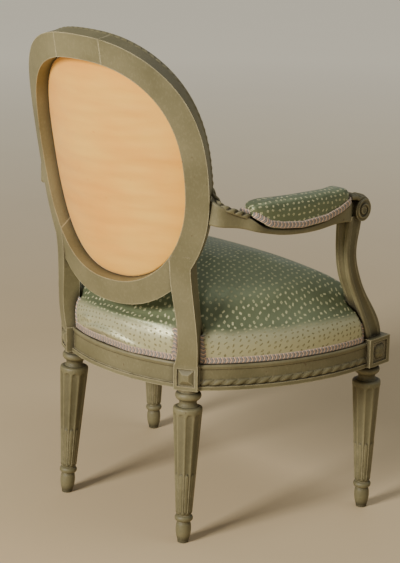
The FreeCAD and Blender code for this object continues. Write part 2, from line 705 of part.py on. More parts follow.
scroll = doc.addObject("Part::Cylinder", "scroll")
bind(scroll, Radius="scroll_radius", Height="scroll_width", Placement__Base__y="scroll_y",
     Placement__Base__z="scroll_z", Placement__Base__x="-arm_front_x - scroll_width / 2")
scroll.Placement.Rotation = Rotation(Vector(0, 1, 0), 90)
eye = doc.addObject("Part::Cylinder", "scroll_eye")
bind(eye, Radius="scroll_eye", Height="scroll_width + 3", Placement__Base__y="scroll_y",
     Placement__Base__z="scroll_z", Placement__Base__x="-arm_front_x - scroll_width / 2 - 1.5")
eye.Placement.Rotation = Rotation(Vector(0, 1, 0), 90)

# Arm supports: a swept foot on the front block, a waist set back and a head under the arm
# Rows from the block up: y, height above the floor
SUPPORT_ROWS = [
    (S.support_foot_y, S.rail_bottom + S.front_block_height),
    (-190, 356),
    (-164, 409),
    (-144, 449),
    (-134, 495),
    (-138, 542),
    (-139, 556),
]
SUPPORT_SIZES = ["support_foot_size", "support_foot_size", "support_waist_size", "support_waist_size",
                 "support_waist_size", "support_head_size", "support_head_size"]


def support_section(index, grow=0.0):
    y, height = SUPPORT_ROWS[index]
    width = float(sheet.get(SUPPORT_SIZES[index])) + 2 * grow
    wire = rounded_section(Vector(), width, width, 0, 3.0, 0.0 if grow else S.support_groove)
    before, after = SUPPORT_ROWS[max(index - 1, 0)], SUPPORT_ROWS[min(index + 1, len(SUPPORT_ROWS) - 1)]
    lean = math.degrees(math.atan2(after[0] - before[0], after[1] - before[1]))
    if index == 0:
        lean = 0
    place = Placement(Vector(-S.arm_front_x, y, height), Rotation(Vector(1, 0, 0), 90 - lean))
    wire.Placement = place
    return wire


def support_loft(grow=0.0):
    return Part.makeLoft([support_section(index, grow) for index in range(len(SUPPORT_ROWS))], True)


support_run = solid_of("support_run", support_loft())
arm_whole = fuse("arm_whole", [solid_of("arm_run", arm_loft()), scroll, eye])
keep_pair("arm", cut("arm_right", arm_whole, [rear_right]))
support_whole = fuse("support_whole", [support_run, support_peg("support_tenon", "0")])
keep_pair("arm_support", cut("arm_support_right", support_whole, [arm_whole]))


# Arm pads: horsehair under a cover, edged with a woven braid
# Rows from back to front: y and fullness, which rounds the two ends
PAD_GAP = 2 * S.soft_gap
PAD_ROWS = [(S.pad_rear_y, 0.35), (S.pad_rear_y - 3, 0.62), (S.pad_rear_y - 12, 0.88), (56, 1), (34, 1),
            (-5, 1), (-57, 1), (-90, 1), (S.pad_front_y + 10, 0.88), (S.pad_front_y + 3, 0.62),
            (S.pad_front_y, 0.35)]


def arm_at(y):
    """The arm's middle, underside and thickness at a place between two of its rows."""
    for (y1, *first), (y2, *second) in zip(ARM_ROWS, ARM_ROWS[1:]):
        if y2 <= y <= y1:
            part = (y1 - y) / (y1 - y2)
            return [a + (b - a) * part for a, b in zip(first, second)]
    raise ValueError("no arm at %g" % y)


def pad_width(fullness):
    return S.pad_width * (0.42 + 0.58 * fullness)


def pad_loft(shrink, drop=0.0):
    """Rounded pad over the arm, drawn in all round by shrink; drop lowers its underside."""
    middle = (S.pad_rear_y + S.pad_front_y) / 2
    rows = [(y - math.copysign(shrink, y - middle) if fullness < 1 else y, arm_at(y)[0])
            for y, fullness in PAD_ROWS]
    wires = []
    for index, (y, fullness) in enumerate(PAD_ROWS):
        x, low, thick = arm_at(y)
        bottom = low + thick + PAD_GAP
        tall = (S.pad_top - bottom) * (0.55 + 0.45 * fullness) - shrink
        width = pad_width(fullness) - 2 * shrink
        centre = Vector(x, rows[index][0], bottom + (tall - drop) / 2)
        corner = min(width, tall) * 0.36
        wires.append(rounded_section(centre, width, tall + drop, -row_turn(rows, index), corner))
    return Part.makeLoft(wires, True)


pad_filling = solid_of("pad_filling", pad_loft(S.cover_thick + S.soft_gap))
keep_pair("arm_pad_stuffing", cut("arm_pad_stuffing_right", pad_filling, [arm_whole]))
pad_cover = pad_loft(0).cut(pad_loft(S.cover_thick, drop=4))
keep_pair("arm_pad_cover", cut("arm_pad_cover_right", solid_of("pad_cover", pad_cover), [arm_whole]))


def pad_braid(side):
    """One run of braid along the pad's foot, on its outer side (-1) or its inner side (1)."""
    rows = [(y, arm_at(y)[0]) for y, _ in PAD_ROWS]
    wires = []
    for index, (y, fullness) in list(enumerate(PAD_ROWS))[1:-1]:
        x, low, thick = arm_at(y)
        near = side * (pad_width(fullness) + S.soft_gap) / 2
        far = near + side * S.gimp_thick
        corners = [(near, 0), (far, 0), (far, S.gimp_height), (near, S.gimp_height)]
        turning = Rotation(Vector(0, 0, 1), -row_turn(rows, index))
        foot = Vector(x, y, low + thick + PAD_GAP)
        points = [foot + turning.multVec(Vector(across, 0, up)) for across, up in corners]
        wires.append(Part.makePolygon(points + points[:1]))
    return Part.makeLoft(wires, True)


keep_pair("arm_pad_gimp", solid_of("arm_pad_gimp_right", Part.makeCompound([pad_braid(-1), pad_braid(1)])))


# Seat upholstery: webbing and hessian over the rails, stuffing, cover and braid
def level_box(x, y, bottom, length, width, height, turn=0.0):
    box = Part.makeBox(length, width, height, Vector(-length / 2, -width / 2, 0))
    box.rotate(Vector(), Vector(0, 0, 1), turn)
    box.translate(Vector(x, y, bottom))
    return box


def strips(count, along_x, bottom):
    """Parallel strips of webbing over the rails."""
    cut_to = plan_slab(S.webbing_inset, bottom, bottom + S.webbing_thick)
    pieces = []
    for index in range(count):
        place = (index - (count - 1) / 2) * S.webbing_pitch
        strip = (level_box(0, SEAT_MIDDLE + place, bottom, 900, S.webbing_width, S.webbing_thick)
                 if along_x
                 else level_box(place, SEAT_MIDDLE, bottom, S.webbing_width, 900, S.webbing_thick))
        pieces.append(strip.common(cut_to).cut(room))
    return pieces


def seat_dome(shrink, bottom):
    """Crowned cushion over the plan, each row an inset from the rails and a height above them."""
    side, crown = S.seat_side_height, S.seat_crown_height
    rows = [(0, bottom - RAIL_TOP), (0, side * 0.3), (-1.5, side * 0.6), (4, side - 3), (17, side + 13),
            (44, side + 42), (88, side + 70), (132, crown - 8), (160, crown)]
    wires = [plan_wire(S.seat_inset + shrink + inset, RAIL_TOP + height - (shrink if height > side else 0))
             for inset, height in rows]
    return Part.makeLoft(wires, True)


def corner_room(grow):
    """Space round the stile and the arm support that the upholstery is cut away for."""
    foot = block_face(RAIL_TOP - 20)
    turn = math.radians(S.rear_block_turn)
    depth = S.stile_depth + grow
    stile = level_box(foot.x + math.sin(turn) * (depth / 2 - 10), foot.y - math.cos(turn) * (depth / 2 - 10),
                      RAIL_TOP - 20, S.stile_foot_width + 2 * grow, depth + 20, 200, S.rear_block_turn)
    size = S.front_block_size + 2 * grow
    block = level_box(-S.front_leg_x - 10, S.front_leg_y - 10, RAIL_TOP - 20, size + 20, size + 20, 200)
    right = stile.fuse(block).fuse(support_loft(grow))
    return right.fuse(right.mirror(Vector(), Vector(1, 0, 0)))


room = corner_room(1.0)
keep("seat_webbing", solid_of("seat_webbing", Part.makeCompound(
    strips(4, True, RAIL_TOP) + strips(5, False, RAIL_TOP + S.webbing_thick))))
HESSIAN_BOTTOM = RAIL_TOP + 2 * S.webbing_thick + S.soft_gap
hessian = plan_slab(S.webbing_inset, HESSIAN_BOTTOM, HESSIAN_BOTTOM + S.hessian_thick).cut(room)
keep("seat_hessian", solid_of("seat_hessian", hessian))
STUFFING_BOTTOM = HESSIAN_BOTTOM + S.hessian_thick + S.soft_gap
stuffing = seat_dome(S.cover_thick + S.soft_gap, STUFFING_BOTTOM).cut(corner_room(1 + S.cover_thick))
keep("seat_stuffing", solid_of("seat_stuffing", stuffing))
cover = seat_dome(0, RAIL_TOP + S.soft_gap).cut(seat_dome(S.cover_thick, RAIL_TOP - 5)).cut(room)
keep("seat_cover", solid_of("seat_cover", cover))


def braid_band(arc, inset, start, end):
    centre, radius = ARCS[arc][:2]
    outer = radius - inset + S.gimp_thick
    return arc_band(centre, outer, outer - S.gimp_thick, RAIL_TOP + S.soft_gap,
                    RAIL_TOP + S.soft_gap + S.gimp_height, start, end)


braids = [braid_band(arc, S.seat_inset, *ARCS[arc][2:4]) for arc in ("back", "right", "front")]
braids.append(braids[1].mirror(Vector(), Vector(1, 0, 0)))
braids = [braid.cut(room) for braid in braids]
keep("seat_gimp", solid_of("seat_gimp", Part.makeCompound(braids)))

# Corner braces: glued blocks inside the rails' corners
inside = plan_slab(S.rail_thick + S.joint_gap, S.rail_bottom + 6, S.rail_bottom + 6 + S.brace_height)
braces = []
for x, y, turn, reach in ((-S.rear_leg_x, S.rear_leg_y, -35, 38), (-S.front_leg_x, S.front_leg_y, 45, 44)):
    away = math.radians(turn - 90 if turn < 0 else turn)
    bar = level_box(x + reach * math.cos(away), y + reach * math.sin(away), S.rail_bottom, S.brace_length,
                    S.brace_thick, S.rail_height, math.degrees(away) + 90)
    braces.append(inside.common(bar))
blocks = [rear_block_box.Shape, front_block_box.Shape]
braces = [brace.cut(blocks[0]).cut(blocks[1]) for brace in braces]
braces += [brace.mirror(Vector(), Vector(1, 0, 0)) for brace in braces]
keep("corner_braces", solid_of("corner_braces", Part.makeCompound(braces)))


# Back upholstery: rear cloth, hessian, stuffing, inside cover and braid
def back_panel(inset, front, rear):
    return oval_prism(inset).common(shell(front, rear))


EDGE = S.oval_border + S.soft_gap
CLOTH_FRONT = S.back_cloth_depth + S.back_cloth_thick
keep("outer_back_cloth", solid_of("outer_back_cloth", back_panel(EDGE, CLOTH_FRONT, S.back_cloth_depth),
                                  BACK_PLACE))
HESSIAN_REAR = CLOTH_FRONT + 3
keep("back_hessian", solid_of("back_hessian", back_panel(EDGE, HESSIAN_REAR + S.hessian_thick, HESSIAN_REAR),
                              BACK_PLACE))
PAD_REAR = S.oval_thick + S.soft_gap
STUFFING_REAR = HESSIAN_REAR + S.hessian_thick + S.soft_gap


def back_pad(shrink, rear):
    """Pad inside the braid, whose front is flatter across than the frame, so that it crowns in the middle."""
    frame_radius = S.oval_curve - PAD_REAR
    edge_x = (S.oval_half_width - S.oval_border) * frame_radius / S.oval_curve
    hollow = frame_radius - math.sqrt(frame_radius ** 2 - edge_x ** 2) - S.back_pad_rise * 0.6
    front_radius = (edge_x ** 2 + hollow ** 2) / (2 * hollow)
    tall = 4 * S.oval_half_height
    sitter_side = Part.makeCylinder(front_radius, tall, Vector(
        0, -PAD_REAR - S.back_pad_rise + shrink - front_radius, -tall / 2))
    behind = Part.makeCylinder(S.oval_curve - rear, tall, Vector(0, -S.oval_curve, -tall / 2))
    return oval_prism(S.oval_border - S.back_pad_lap + shrink).common(behind).cut(sitter_side)


keep("back_stuffing", solid_of("back_stuffing", back_pad(S.cover_thick + S.soft_gap, PAD_REAR).fuse(
    back_panel(EDGE, PAD_REAR + 5, STUFFING_REAR)).removeSplitter(), BACK_PLACE))
keep("inside_back_cover", solid_of("inside_back_cover", back_pad(0, PAD_REAR).cut(
    back_pad(S.cover_thick, PAD_REAR - 5)), BACK_PLACE))
braid_edge = S.oval_border - S.back_pad_lap - S.soft_gap
keep("back_gimp", solid_of("back_gimp", oval_ring(braid_edge - S.gimp_thick, braid_edge,
                                                  PAD_REAR + S.gimp_height, PAD_REAR), BACK_PLACE))

# Checks and export
doc.recompute()
for item in doc.Objects:
    if "Invalid" in item.State or "Error" in item.State:
        raise RuntimeError("%s is %s" % (item.Name, item.State))
os.makedirs("parts", exist_ok=True)
for item in NODES:
    if item.Shape.isNull() or not item.Shape.isValid() or not item.Shape.Solids:
        raise RuntimeError("%s has no valid solid" % item.Label)
    item.Shape.exportStep("parts/%s.step" % item.Label)
    print("%-28s %2d solids  %9.0f mm3" % (item.Label, len(item.Shape.Solids), item.Shape.Volume))
box = FreeCAD.BoundBox()
for item in NODES:
    box.add(item.Shape.BoundBox)
print("box", [round(number, 1) for number in (box.XMin, box.XMax, box.YMin, box.YMax, box.ZMin, box.ZMax)])
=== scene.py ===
import json
import math

import bmesh
import bpy
from mathutils import Matrix, Vector
from mathutils.bvhtree import BVHTree


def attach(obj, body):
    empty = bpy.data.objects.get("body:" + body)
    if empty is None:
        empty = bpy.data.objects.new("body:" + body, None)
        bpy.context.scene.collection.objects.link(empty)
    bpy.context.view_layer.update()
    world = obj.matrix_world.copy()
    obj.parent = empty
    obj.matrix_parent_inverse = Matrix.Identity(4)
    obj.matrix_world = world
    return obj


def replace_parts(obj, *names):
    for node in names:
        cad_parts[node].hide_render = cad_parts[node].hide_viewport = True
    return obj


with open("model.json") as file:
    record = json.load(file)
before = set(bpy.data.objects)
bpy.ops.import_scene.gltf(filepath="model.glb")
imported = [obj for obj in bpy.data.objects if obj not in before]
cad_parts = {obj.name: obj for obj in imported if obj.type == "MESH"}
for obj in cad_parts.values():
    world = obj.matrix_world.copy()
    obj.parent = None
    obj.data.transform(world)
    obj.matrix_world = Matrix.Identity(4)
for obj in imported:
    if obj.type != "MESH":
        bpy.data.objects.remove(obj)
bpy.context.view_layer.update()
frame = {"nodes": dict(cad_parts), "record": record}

# The frame is beech, turned, carved and tenoned together, and every piece of it is painted.
# The paint is a thin grey-green, rubbed to cream along the edges.
# It is dark in the hollows and cuts: painted shade there, with the old wax and dust that have settled in them.
PAINT = (132, 125, 92)
PAINT_SHADED = (101, 96, 66)
PAINT_RUBBED = (204, 193, 156)
# Painted shade in the hollows, cuts and joints, with the patina there.
PAINTED_SHADE_AND_PATINA = (38, 32, 19)
WOOD_CHIP = (84, 62, 38)


def shade(red, green, blue):
    """A colour given as 0 to 255 per channel, in the linear values that a shader takes."""
    return tuple(((part / 255 + 0.055) / 1.055) ** 2.4 for part in (red, green, blue)) + (1.0,)


class Reading:
    """A shader socket that takes part in arithmetic; every operator adds its own Math node."""

    def __init__(self, finish, socket):
        self.finish = finish
        self.socket = socket

    def maths(self, operation, *values):
        return self.finish.node("Math", {"operation": operation}, dict(enumerate(values)))

    def __add__(self, other):
        return self.maths("ADD", self, other)

    __radd__ = __add__

    def __sub__(self, other):
        return self.maths("SUBTRACT", self, other)

    def __rsub__(self, other):
        return self.maths("SUBTRACT", other, self)

    def __mul__(self, other):
        return self.maths("MULTIPLY", self, other)

    __rmul__ = __mul__

    def __truediv__(self, other):
        return self.maths("DIVIDE", self, other)

    def __abs__(self):
        return self.maths("ABSOLUTE", self)

    def wave(self):
        return self.maths("SINE", self)

    def larger(self, other):
        return self.maths("MAXIMUM", self, other)

    def clamped(self):
        return self.finish.node("Clamp", {}, {"Value": self})


class Finish:
    """A material in the making: one method adds any node, one mixes colours, one feeds the surface."""

    def __init__(self, name):
        self.material = bpy.data.materials.new(name)
        self.material.use_nodes = True
        self.tree = self.material.node_tree
        self.surface = self.tree.nodes["Principled BSDF"]

    def feed(self, socket, value):
        if isinstance(value, Reading):
            self.tree.links.new(value.socket, socket)
        else:
            socket.default_value = value

    def node(self, kind, settings=None, inputs=None, output=0):
        added = self.tree.nodes.new("ShaderNode" + kind)
        for name, setting in (settings or {}).items():
            setattr(added, name, setting)
        for name, value in (inputs or {}).items():
            self.feed(added.inputs[name], value)
        return Reading(self, added.outputs[output])

    def mix(self, share, first, second):
        return self.node("Mix", {"data_type": "RGBA"}, {0: share, 6: first, 7: second}, 2)

    def noise(self, place, scale, detail=3.0):
        return self.node("TexNoise", {}, {"Vector": place, "Scale": scale, "Detail": detail})

    def cover(self, **values):
        for name, value in values.items():
            self.feed(self.surface.inputs[name.replace("_", " ")], value)
        return self.material

    def relief(self, height, strength, distance):
        return self.node("Bump", {}, {"Height": height, "Strength": strength, "Distance": distance})


def painted_beech():
    finish = Finish("painted_beech")
    place = finish.node("TexCoord", output="Object")
    cloud = finish.noise(place, 11, 7)
    streaks = finish.noise(finish.node("Mapping", {}, {"Vector": place, "Scale": (300, 300, 180)}), 1.0, 3)
    rounded = finish.node("Bevel", {"samples": 4}, {"Radius": 0.0028})
    flat = finish.node("NewGeometry", output="Normal")
    along = finish.node("VectorMath", {"operation": "DOT_PRODUCT"}, {0: rounded, 1: flat}, "Value")
    openness = finish.node("AmbientOcclusion", {"samples": 6}, {"Distance": 0.018}, "AO")
    # The carvings' cuts bring their own painted shade, kept in their attribute hollow.
    painted_cut_shade = finish.node("Attribute", {"attribute_name": "hollow"}, output="Fac")
    patches = finish.noise(place, 60, 4)
    # hollow is painted shade in the cuts, recesses and joints, with the patina of old wax and dust there.
    hollow = ((1 - openness) * 2.3 - 0.14 + painted_cut_shade).clamped()
    rubbed = ((1 - along) * 8 * (patches * 2.2 - 0.55).clamped() * openness).clamped()
    chips = ((finish.noise(place, 130, 2) - 0.73) * 30).clamped()
    colour = finish.mix((cloud * 2.2 - 0.6).clamped(), shade(*PAINT_SHADED), shade(*PAINT))
    colour = finish.mix((streaks * 1.6 - 0.8).clamped() * 0.22, colour, shade(*PAINT_RUBBED))
    colour = finish.mix(hollow * 0.85, colour, shade(*PAINTED_SHADE_AND_PATINA))
    colour = finish.mix(rubbed * 0.75, colour, shade(*PAINT_RUBBED))
    colour = finish.mix(chips * 0.6, colour, shade(*WOOD_CHIP))
    return finish.cover(Base_Color=colour, Roughness=0.42 + cloud * 0.22 + hollow * 0.2,
                        Normal=finish.relief(streaks * 0.4 + cloud, 0.22, 0.0008))


PAINTED = painted_beech()
NODE_SLOTS = {part["node"]: part["material_slot"] for part in frame["record"]["subparts"]}


def finish_nodes(slot, material):
    """Gives every solid of a material slot its finish."""
    for name, node in frame["nodes"].items():
        if NODE_SLOTS[name] == slot:
            for place in node.material_slots:
                place.material = material


finish_nodes("painted_wood", PAINTED)

# Twisted ribbons are carved along the side and front rails, below the plain frieze.
# They are cut in the rail's own wood: a ribbon wound slantwise round a slender rod.
# A bead runs along the top edge of all four rails, between two grooves that are painted shade on a flat strip.
UP = Vector((0, 0, 1))
RAIL_BOTTOM, RAIL_TOP = 0.277, 0.322
BACK_ARC = (Vector((0, -0.1975, 0)), 0.360)
FRONT_ARC = (Vector((0, 0.9854, 0)), 1.232)
RIGHT_ARC = (Vector((0.1402, -0.1782, 0)), 0.430)
LEFT_ARC = (Vector((-0.1402, -0.1782, 0)), 0.430)
REAR_BLOCK, FRONT_BLOCK = Vector((-0.143, 0.119, 0)), Vector((-0.2695, -0.204, 0))
REAR_BLOCK_HALF, FRONT_BLOCK_HALF = 0.021, 0.027
MOULDING_STEP = 0.003
RAIL_RIBBON_HEIGHT = RAIL_BOTTOM + 0.0135
RAIL_RIBBON = {"width": 0.0120, "rise": 0.0034, "pitch": 0.0200}
RAIL_BEAD_HEIGHT = RAIL_TOP - 0.0052
# The bead's grooves are painted shade: beside the bead the strip lies flat, a little above the rail, and is
# painted dark.
RAIL_BEAD = {"width": 0.0082, "rise": 0.0013, "share": 0.7, "groove": 0.0001, "dark": 0.25}
CARVING_STEP, BEAD_STEP = 0.0011, 0.004
# Painted shade in the carvings' cuts and grooves: how dark it is at most, and how it grows with the depth of a
# cut.
HOLLOW_SHADE = 0.95
CUT = {"gain": 1.2, "least": 0.0003, "falloff": 1.3}


def mesh_piece(name, points, faces, material):
    """A new piece in the chair's frame, with its faces turned outwards and shaded smooth."""
    mesh = bpy.data.meshes.new(name)
    mesh.from_pydata(points, [], faces)
    shell = bmesh.new()
    shell.from_mesh(mesh)
    bmesh.ops.recalc_face_normals(shell, faces=shell.faces)
    shell.to_mesh(mesh)
    shell.free()
    mesh.materials.append(material)
    mesh.shade_smooth()
    piece = bpy.data.objects.new(name, mesh)
    bpy.context.scene.collection.objects.link(piece)
    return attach(piece, "root")


def evenly(route, step, closed=False):
    """The same route of (point, outward) pairs with its points spaced step apart."""
    route = route + route[:1] if closed else route
    reached = [0.0]
    for (start, _), (end, _) in zip(route, route[1:]):
        reached.append(reached[-1] + (end - start).length)
    count = round(reached[-1] / step)
    spaced = []
    leg = 0
    for index in range(count if closed else count + 1):
        target = reached[-1] * index / count
        while leg < len(reached) - 2 and reached[leg + 1] < target:
            leg += 1
        share = (target - reached[leg]) / (reached[leg + 1] - reached[leg])
        spaced.append(tuple(a.lerp(b, share) for a, b in zip(route[leg], route[leg + 1])))
    return spaced


def keep_values(piece, **values):
    """Keeps named values at the points of a piece, where its finish reads them."""
    for name, numbers in values.items():
        piece.data.attributes.new(name, "FLOAT", "POINT").data.foreach_set("value", numbers)
    return piece


def cut_shade(height, top):
    """How dark the painted shade in a cut is, from its height and the highest place on its line along the
    carving.
    """
    depth = CUT["gain"] * (1 - height / top) if top > CUT["least"] else 0.0
    return min(max(depth, 0.0), 1.0) ** CUT["falloff"]


def relief_strip(name, route, width, columns, height_at, material, closed=False, sunk=0.002,
                 dark=0.0):
    """A strip along an even route, closed underneath; height_at takes the run and the place across.

    Its cuts carry a painted shade, and its sides are painted dark as grooves from dark short of its edges
    outwards.
    """
    ring = columns + 2
    last = len(route) - 1
    places = [2 * column / (columns - 1) - 1 for column in range(columns)]
    points, faces, runs, sides, rows = [], [], [], [], []
    run = 0.0
    for index, (point, outward) in enumerate(route):
        before = route[index - 1][0] if index or closed else point
        after = route[(index + 1) % len(route)][0] if index < last or closed else point
        along = (after - before).normalized()
        outward = (outward - along * outward.dot(along)).normalized()
        across = outward.cross(along)
        run += (point - route[index - 1][0]).length if index else 0.0
        heights = [height_at(run, side) for side in places]
        points += [point + across * (side * width / 2) + outward * height
                   for side, height in zip(places, heights)]
        points += [point + across * (side * width / 2) - outward * sunk for side in (1, -1)]
        runs += [run] * ring
        sides += places + [1, -1]
        rows.append(heights)
    for row in range(len(route) if closed else last):
        here, there = row * ring, (row + 1) % len(route) * ring
        faces += [(here + column, here + (column + 1) % ring, there + (column + 1) % ring, there + column)
                  for column in range(ring)]
    if not closed:
        faces += [tuple(range(ring)), tuple(last * ring + column for column in range(ring))]
    # Each point keeps its painted shade as the attribute hollow, which the painted finish reads.
    tops = [max(line) for line in zip(*rows)]
    painted_shades = []
    for heights in rows:
        painted_shades += [HOLLOW_SHADE * (1.0 if abs(side) > 1 - dark else cut_shade(height, top))
                    for side, height, top in zip(places, heights, tops)]
        painted_shades += [0.0, 0.0]
    return keep_values(mesh_piece(name, points, faces, material), run=runs, side=sides, hollow=painted_shades)


def twisted_ribbon(rise, pitch):
    """Relief of a ribbon wound slantwise round a rod."""
    wound, slant, rod = 0.86, -0.34, 0.18

    def height_at(run, side):
        turn = (run / pitch + slant * side) % 1.0
        ribbon = math.sin(math.pi * turn / wound) ** 0.55 if turn < wound else 0.0
        return rise * math.sqrt(1 - side * side) * (rod + (1 - rod) * ribbon) - 0.0002

    return height_at


def bead_height(run, side):
    """Relief of the bead along the rails' top edge, between two flat strips painted dark as its grooves."""
    round_share = math.sqrt(max(1 - (side / RAIL_BEAD["share"]) ** 2, 0.0))
    return RAIL_BEAD["rise"] * round_share + RAIL_BEAD["groove"]


def bearing(centre, point):
    return math.atan2(point.y - centre.y, point.x - centre.x) % math.tau


def arc_route(arc, start, end, height, inset=0.0):
    """Level route round an arc of the plan, facing outwards."""
    centre, radius = arc
    route = []
    for step in range(81):
        angle = start + (end - start) * step / 80
        outward = Vector((math.cos(angle), math.sin(angle), 0))
        route.append((centre + outward * (radius - inset) + UP * height, outward))
    return route


def mirrored(route):
    """The same route on the sitter's left."""
    return [tuple(Vector((-part.x, part.y, part.z)) for part in pair) for pair in route]


def on_left(point):
    return Vector((-point.x, point.y, point.z))


side_start = bearing(RIGHT_ARC[0], REAR_BLOCK) + REAR_BLOCK_HALF / RIGHT_ARC[1]
side_end = bearing(RIGHT_ARC[0], FRONT_BLOCK) - FRONT_BLOCK_HALF / RIGHT_ARC[1]
back_start = bearing(BACK_ARC[0], on_left(REAR_BLOCK)) + REAR_BLOCK_HALF / BACK_ARC[1]
back_end = bearing(BACK_ARC[0], REAR_BLOCK) - REAR_BLOCK_HALF / BACK_ARC[1]
front_start = bearing(FRONT_ARC[0], FRONT_BLOCK) + FRONT_BLOCK_HALF / FRONT_ARC[1]
front_end = bearing(FRONT_ARC[0], on_left(FRONT_BLOCK)) - FRONT_BLOCK_HALF / FRONT_ARC[1]


def rail_routes(height):
    """Routes along the faces of the rails at a height, between their blocks."""
    right = arc_route(RIGHT_ARC, side_start, side_end, height, MOULDING_STEP)
    return {"right": right, "left": mirrored(right),
            "front": arc_route(FRONT_ARC, front_start, front_end, height, MOULDING_STEP),
            "back": arc_route(BACK_ARC, back_start, back_end, height, MOULDING_STEP)}


for rail, route in rail_routes(RAIL_RIBBON_HEIGHT).items():
    if rail != "back":
        relief_strip("rail_ribbon_" + rail, evenly(route, CARVING_STEP), RAIL_RIBBON["width"], 9,
                     twisted_ribbon(RAIL_RIBBON["rise"], RAIL_RIBBON["pitch"]), PAINTED)
for rail, route in rail_routes(RAIL_BEAD_HEIGHT).items():
    relief_strip("rail_bead_" + rail, evenly(route, BEAD_STEP), RAIL_BEAD["width"], 11, bead_height,
                 PAINTED, dark=RAIL_BEAD["dark"])

# A bolder ribbon of the same kind is carved on the front edge of the oval and runs down on to the arms.
# It ends against the arm pads, on the arm's upper outer edge.
OVAL_CENTRE = Vector((0, 0.2066, 0.639))
OVAL_LEAN = Matrix.Rotation(math.radians(-9.9), 3, "X")
OVAL_CURVE = 0.383
OVAL_HALF_WIDTH, OVAL_HALF_HEIGHT = 0.2082, 0.2353
OVAL_BORDER, OVAL_BORDER_TOP = 0.035, 0.0418
OVAL_POWER, OVAL_EGG = 2.37, 0.04
OVAL_THICK = 0.031
OVAL_RIBBON = {"width": 0.0100, "rise": 0.0046, "pitch": 0.013, "inset": 0.0028, "facing": 0.5, "sunk": 0.004}
OVAL_RIBBON_DEPTH = OVAL_THICK - 0.001


def on_back(across, up, depth):
    """A point on the curved back, depth in front of its rear face."""
    turn = math.asin(across / OVAL_CURVE)
    radius = OVAL_CURVE - depth
    place = Vector((radius * math.sin(turn), radius * math.cos(turn) - OVAL_CURVE, up))
    return OVAL_CENTRE + OVAL_LEAN @ place


def oval_edge(inset, angle, depth):
    """A point on the oval's outline, drawn in by inset; angle 0 is at the sitter's left."""
    across, up = (math.copysign(abs(part) ** (2 / OVAL_POWER), part)
                  for part in (math.cos(angle), math.sin(angle)))
    return on_back((OVAL_HALF_WIDTH - inset) * across * (1 + OVAL_EGG * math.sin(angle)),
                   (OVAL_HALF_HEIGHT - inset * OVAL_BORDER_TOP / OVAL_BORDER) * up, depth)


def oval_route(inset, depth, start, end, lift, count=180):
    """Route round the oval; lift turns its facing from the front (0) to the outer side (1)."""
    route = []
    for step in range(count):
        angle = start + (end - start) * step / (count - 1)
        point = oval_edge(inset, angle, depth)
        ahead = (oval_edge(inset, angle, depth + 0.01) - point).normalized()
        outer = (point - oval_edge(inset + 0.01, angle, depth)).normalized()
        route.append((point, (ahead * (1 - lift) + outer * lift).normalized()))
    return route


# Points of the arm's upper outer edge, forwards from the oval: x, y, z and how far the ribbon leans out.
ARM_EDGE = [
    (-0.2010, 0.1200, 0.6150, 0.0), (-0.2130, 0.1245, 0.6080, 0.25), (-0.2250, 0.1175, 0.6015, 0.6),
    (-0.2335, 0.1050, 0.5960, 0.8), (-0.2395, 0.0925, 0.5903, 0.8), (-0.2435, 0.0850, 0.5860, 0.8),
]
edge_start, edge_end = math.radians(184), math.radians(-4)
oval_ribbon = oval_route(OVAL_RIBBON["inset"], OVAL_RIBBON_DEPTH, edge_start, edge_end, OVAL_RIBBON["facing"])
arm_ribbon = []
for x, y, z, lean in reversed(ARM_EDGE):
    arm_ribbon.append((Vector((x, y, z)), Vector((-lean, 0.3 * lean, 1)).normalized()))
whole_ribbon = arm_ribbon + oval_ribbon + mirrored(arm_ribbon)[::-1]
relief_strip("oval_ribbon", evenly(whole_ribbon, CARVING_STEP), OVAL_RIBBON["width"], 9,
             twisted_ribbon(OVAL_RIBBON["rise"], OVAL_RIBBON["pitch"]), PAINTED,
             sunk=OVAL_RIBBON["sunk"])

# The turned legs are fluted: ten round-topped hollows, filled below by rods, the cabling.
# The solids carry the rods and one hollow, so a sleeve with the ridges between the hollows and the ring
# at the shaft's head is laid over each of them. A shaft's foot and head are a height and a radius.
SHAFT_FOOT, SHAFT_HEAD = (0.0495, 0.0122), (0.236, 0.0232)
REAR_FOOT = Vector((-0.1504, 0.136, 0))
FLUTES = {"count": 10, "half": 0.39, "top": 0.2345, "bottom": 0.0535, "rise": 0.0019, "clear": 0.00015}
FLUTE_SHADE = 0.38
CABLES = {"half": 0.31, "top": 0.126, "bottom": 0.0545, "rise": 0.0017}
HEAD_RING = {"height": 0.2412, "half": 0.0038, "reach": 0.0252, "lip": 0.0060}
SLEEVE_BOTTOM, SLEEVE_TUCK = SHAFT_FOOT[0] + 0.001, 0.001
SLEEVE_ROWS, FLUTE_COLUMNS = 98, 16


def arched(place, half, height, top, bottom, rounding=0.006):
    """Share of a round groove or rod at a place across it, closed by arches at its top and bottom."""
    into = min(top - height, height - bottom)
    if into <= 0:
        return 0.0
    half *= math.sqrt(1 - (1 - min(into / rounding, 1.0)) ** 2)
    return math.sqrt(max(1 - (place / half) ** 2, 0.0)) if abs(place) < half else 0.0


def shaft_reach(height, flute, cable, fade):
    """Radius of the sleeve over the tapered shaft, for the depth of a flute and the height of a cable."""
    taper = (height - SHAFT_FOOT[0]) / (SHAFT_HEAD[0] - SHAFT_FOOT[0])
    radius = SHAFT_FOOT[1] + (SHAFT_HEAD[1] - SHAFT_FOOT[1]) * taper
    lift = FLUTES["rise"] * (1 - flute) + CABLES["rise"] * cable + FLUTES["clear"]
    return radius + lift * fade - SLEEVE_TUCK * (1 - fade)


def ring_reach(above):
    """Radius of the ring at the shaft's head, rounded over above its middle."""
    rounding = math.sqrt(max(1 - (above / HEAD_RING["half"]) ** 2, 0.0)) if above > 0 else 1.0
    return HEAD_RING["reach"] - HEAD_RING["lip"] * (1 - rounding)


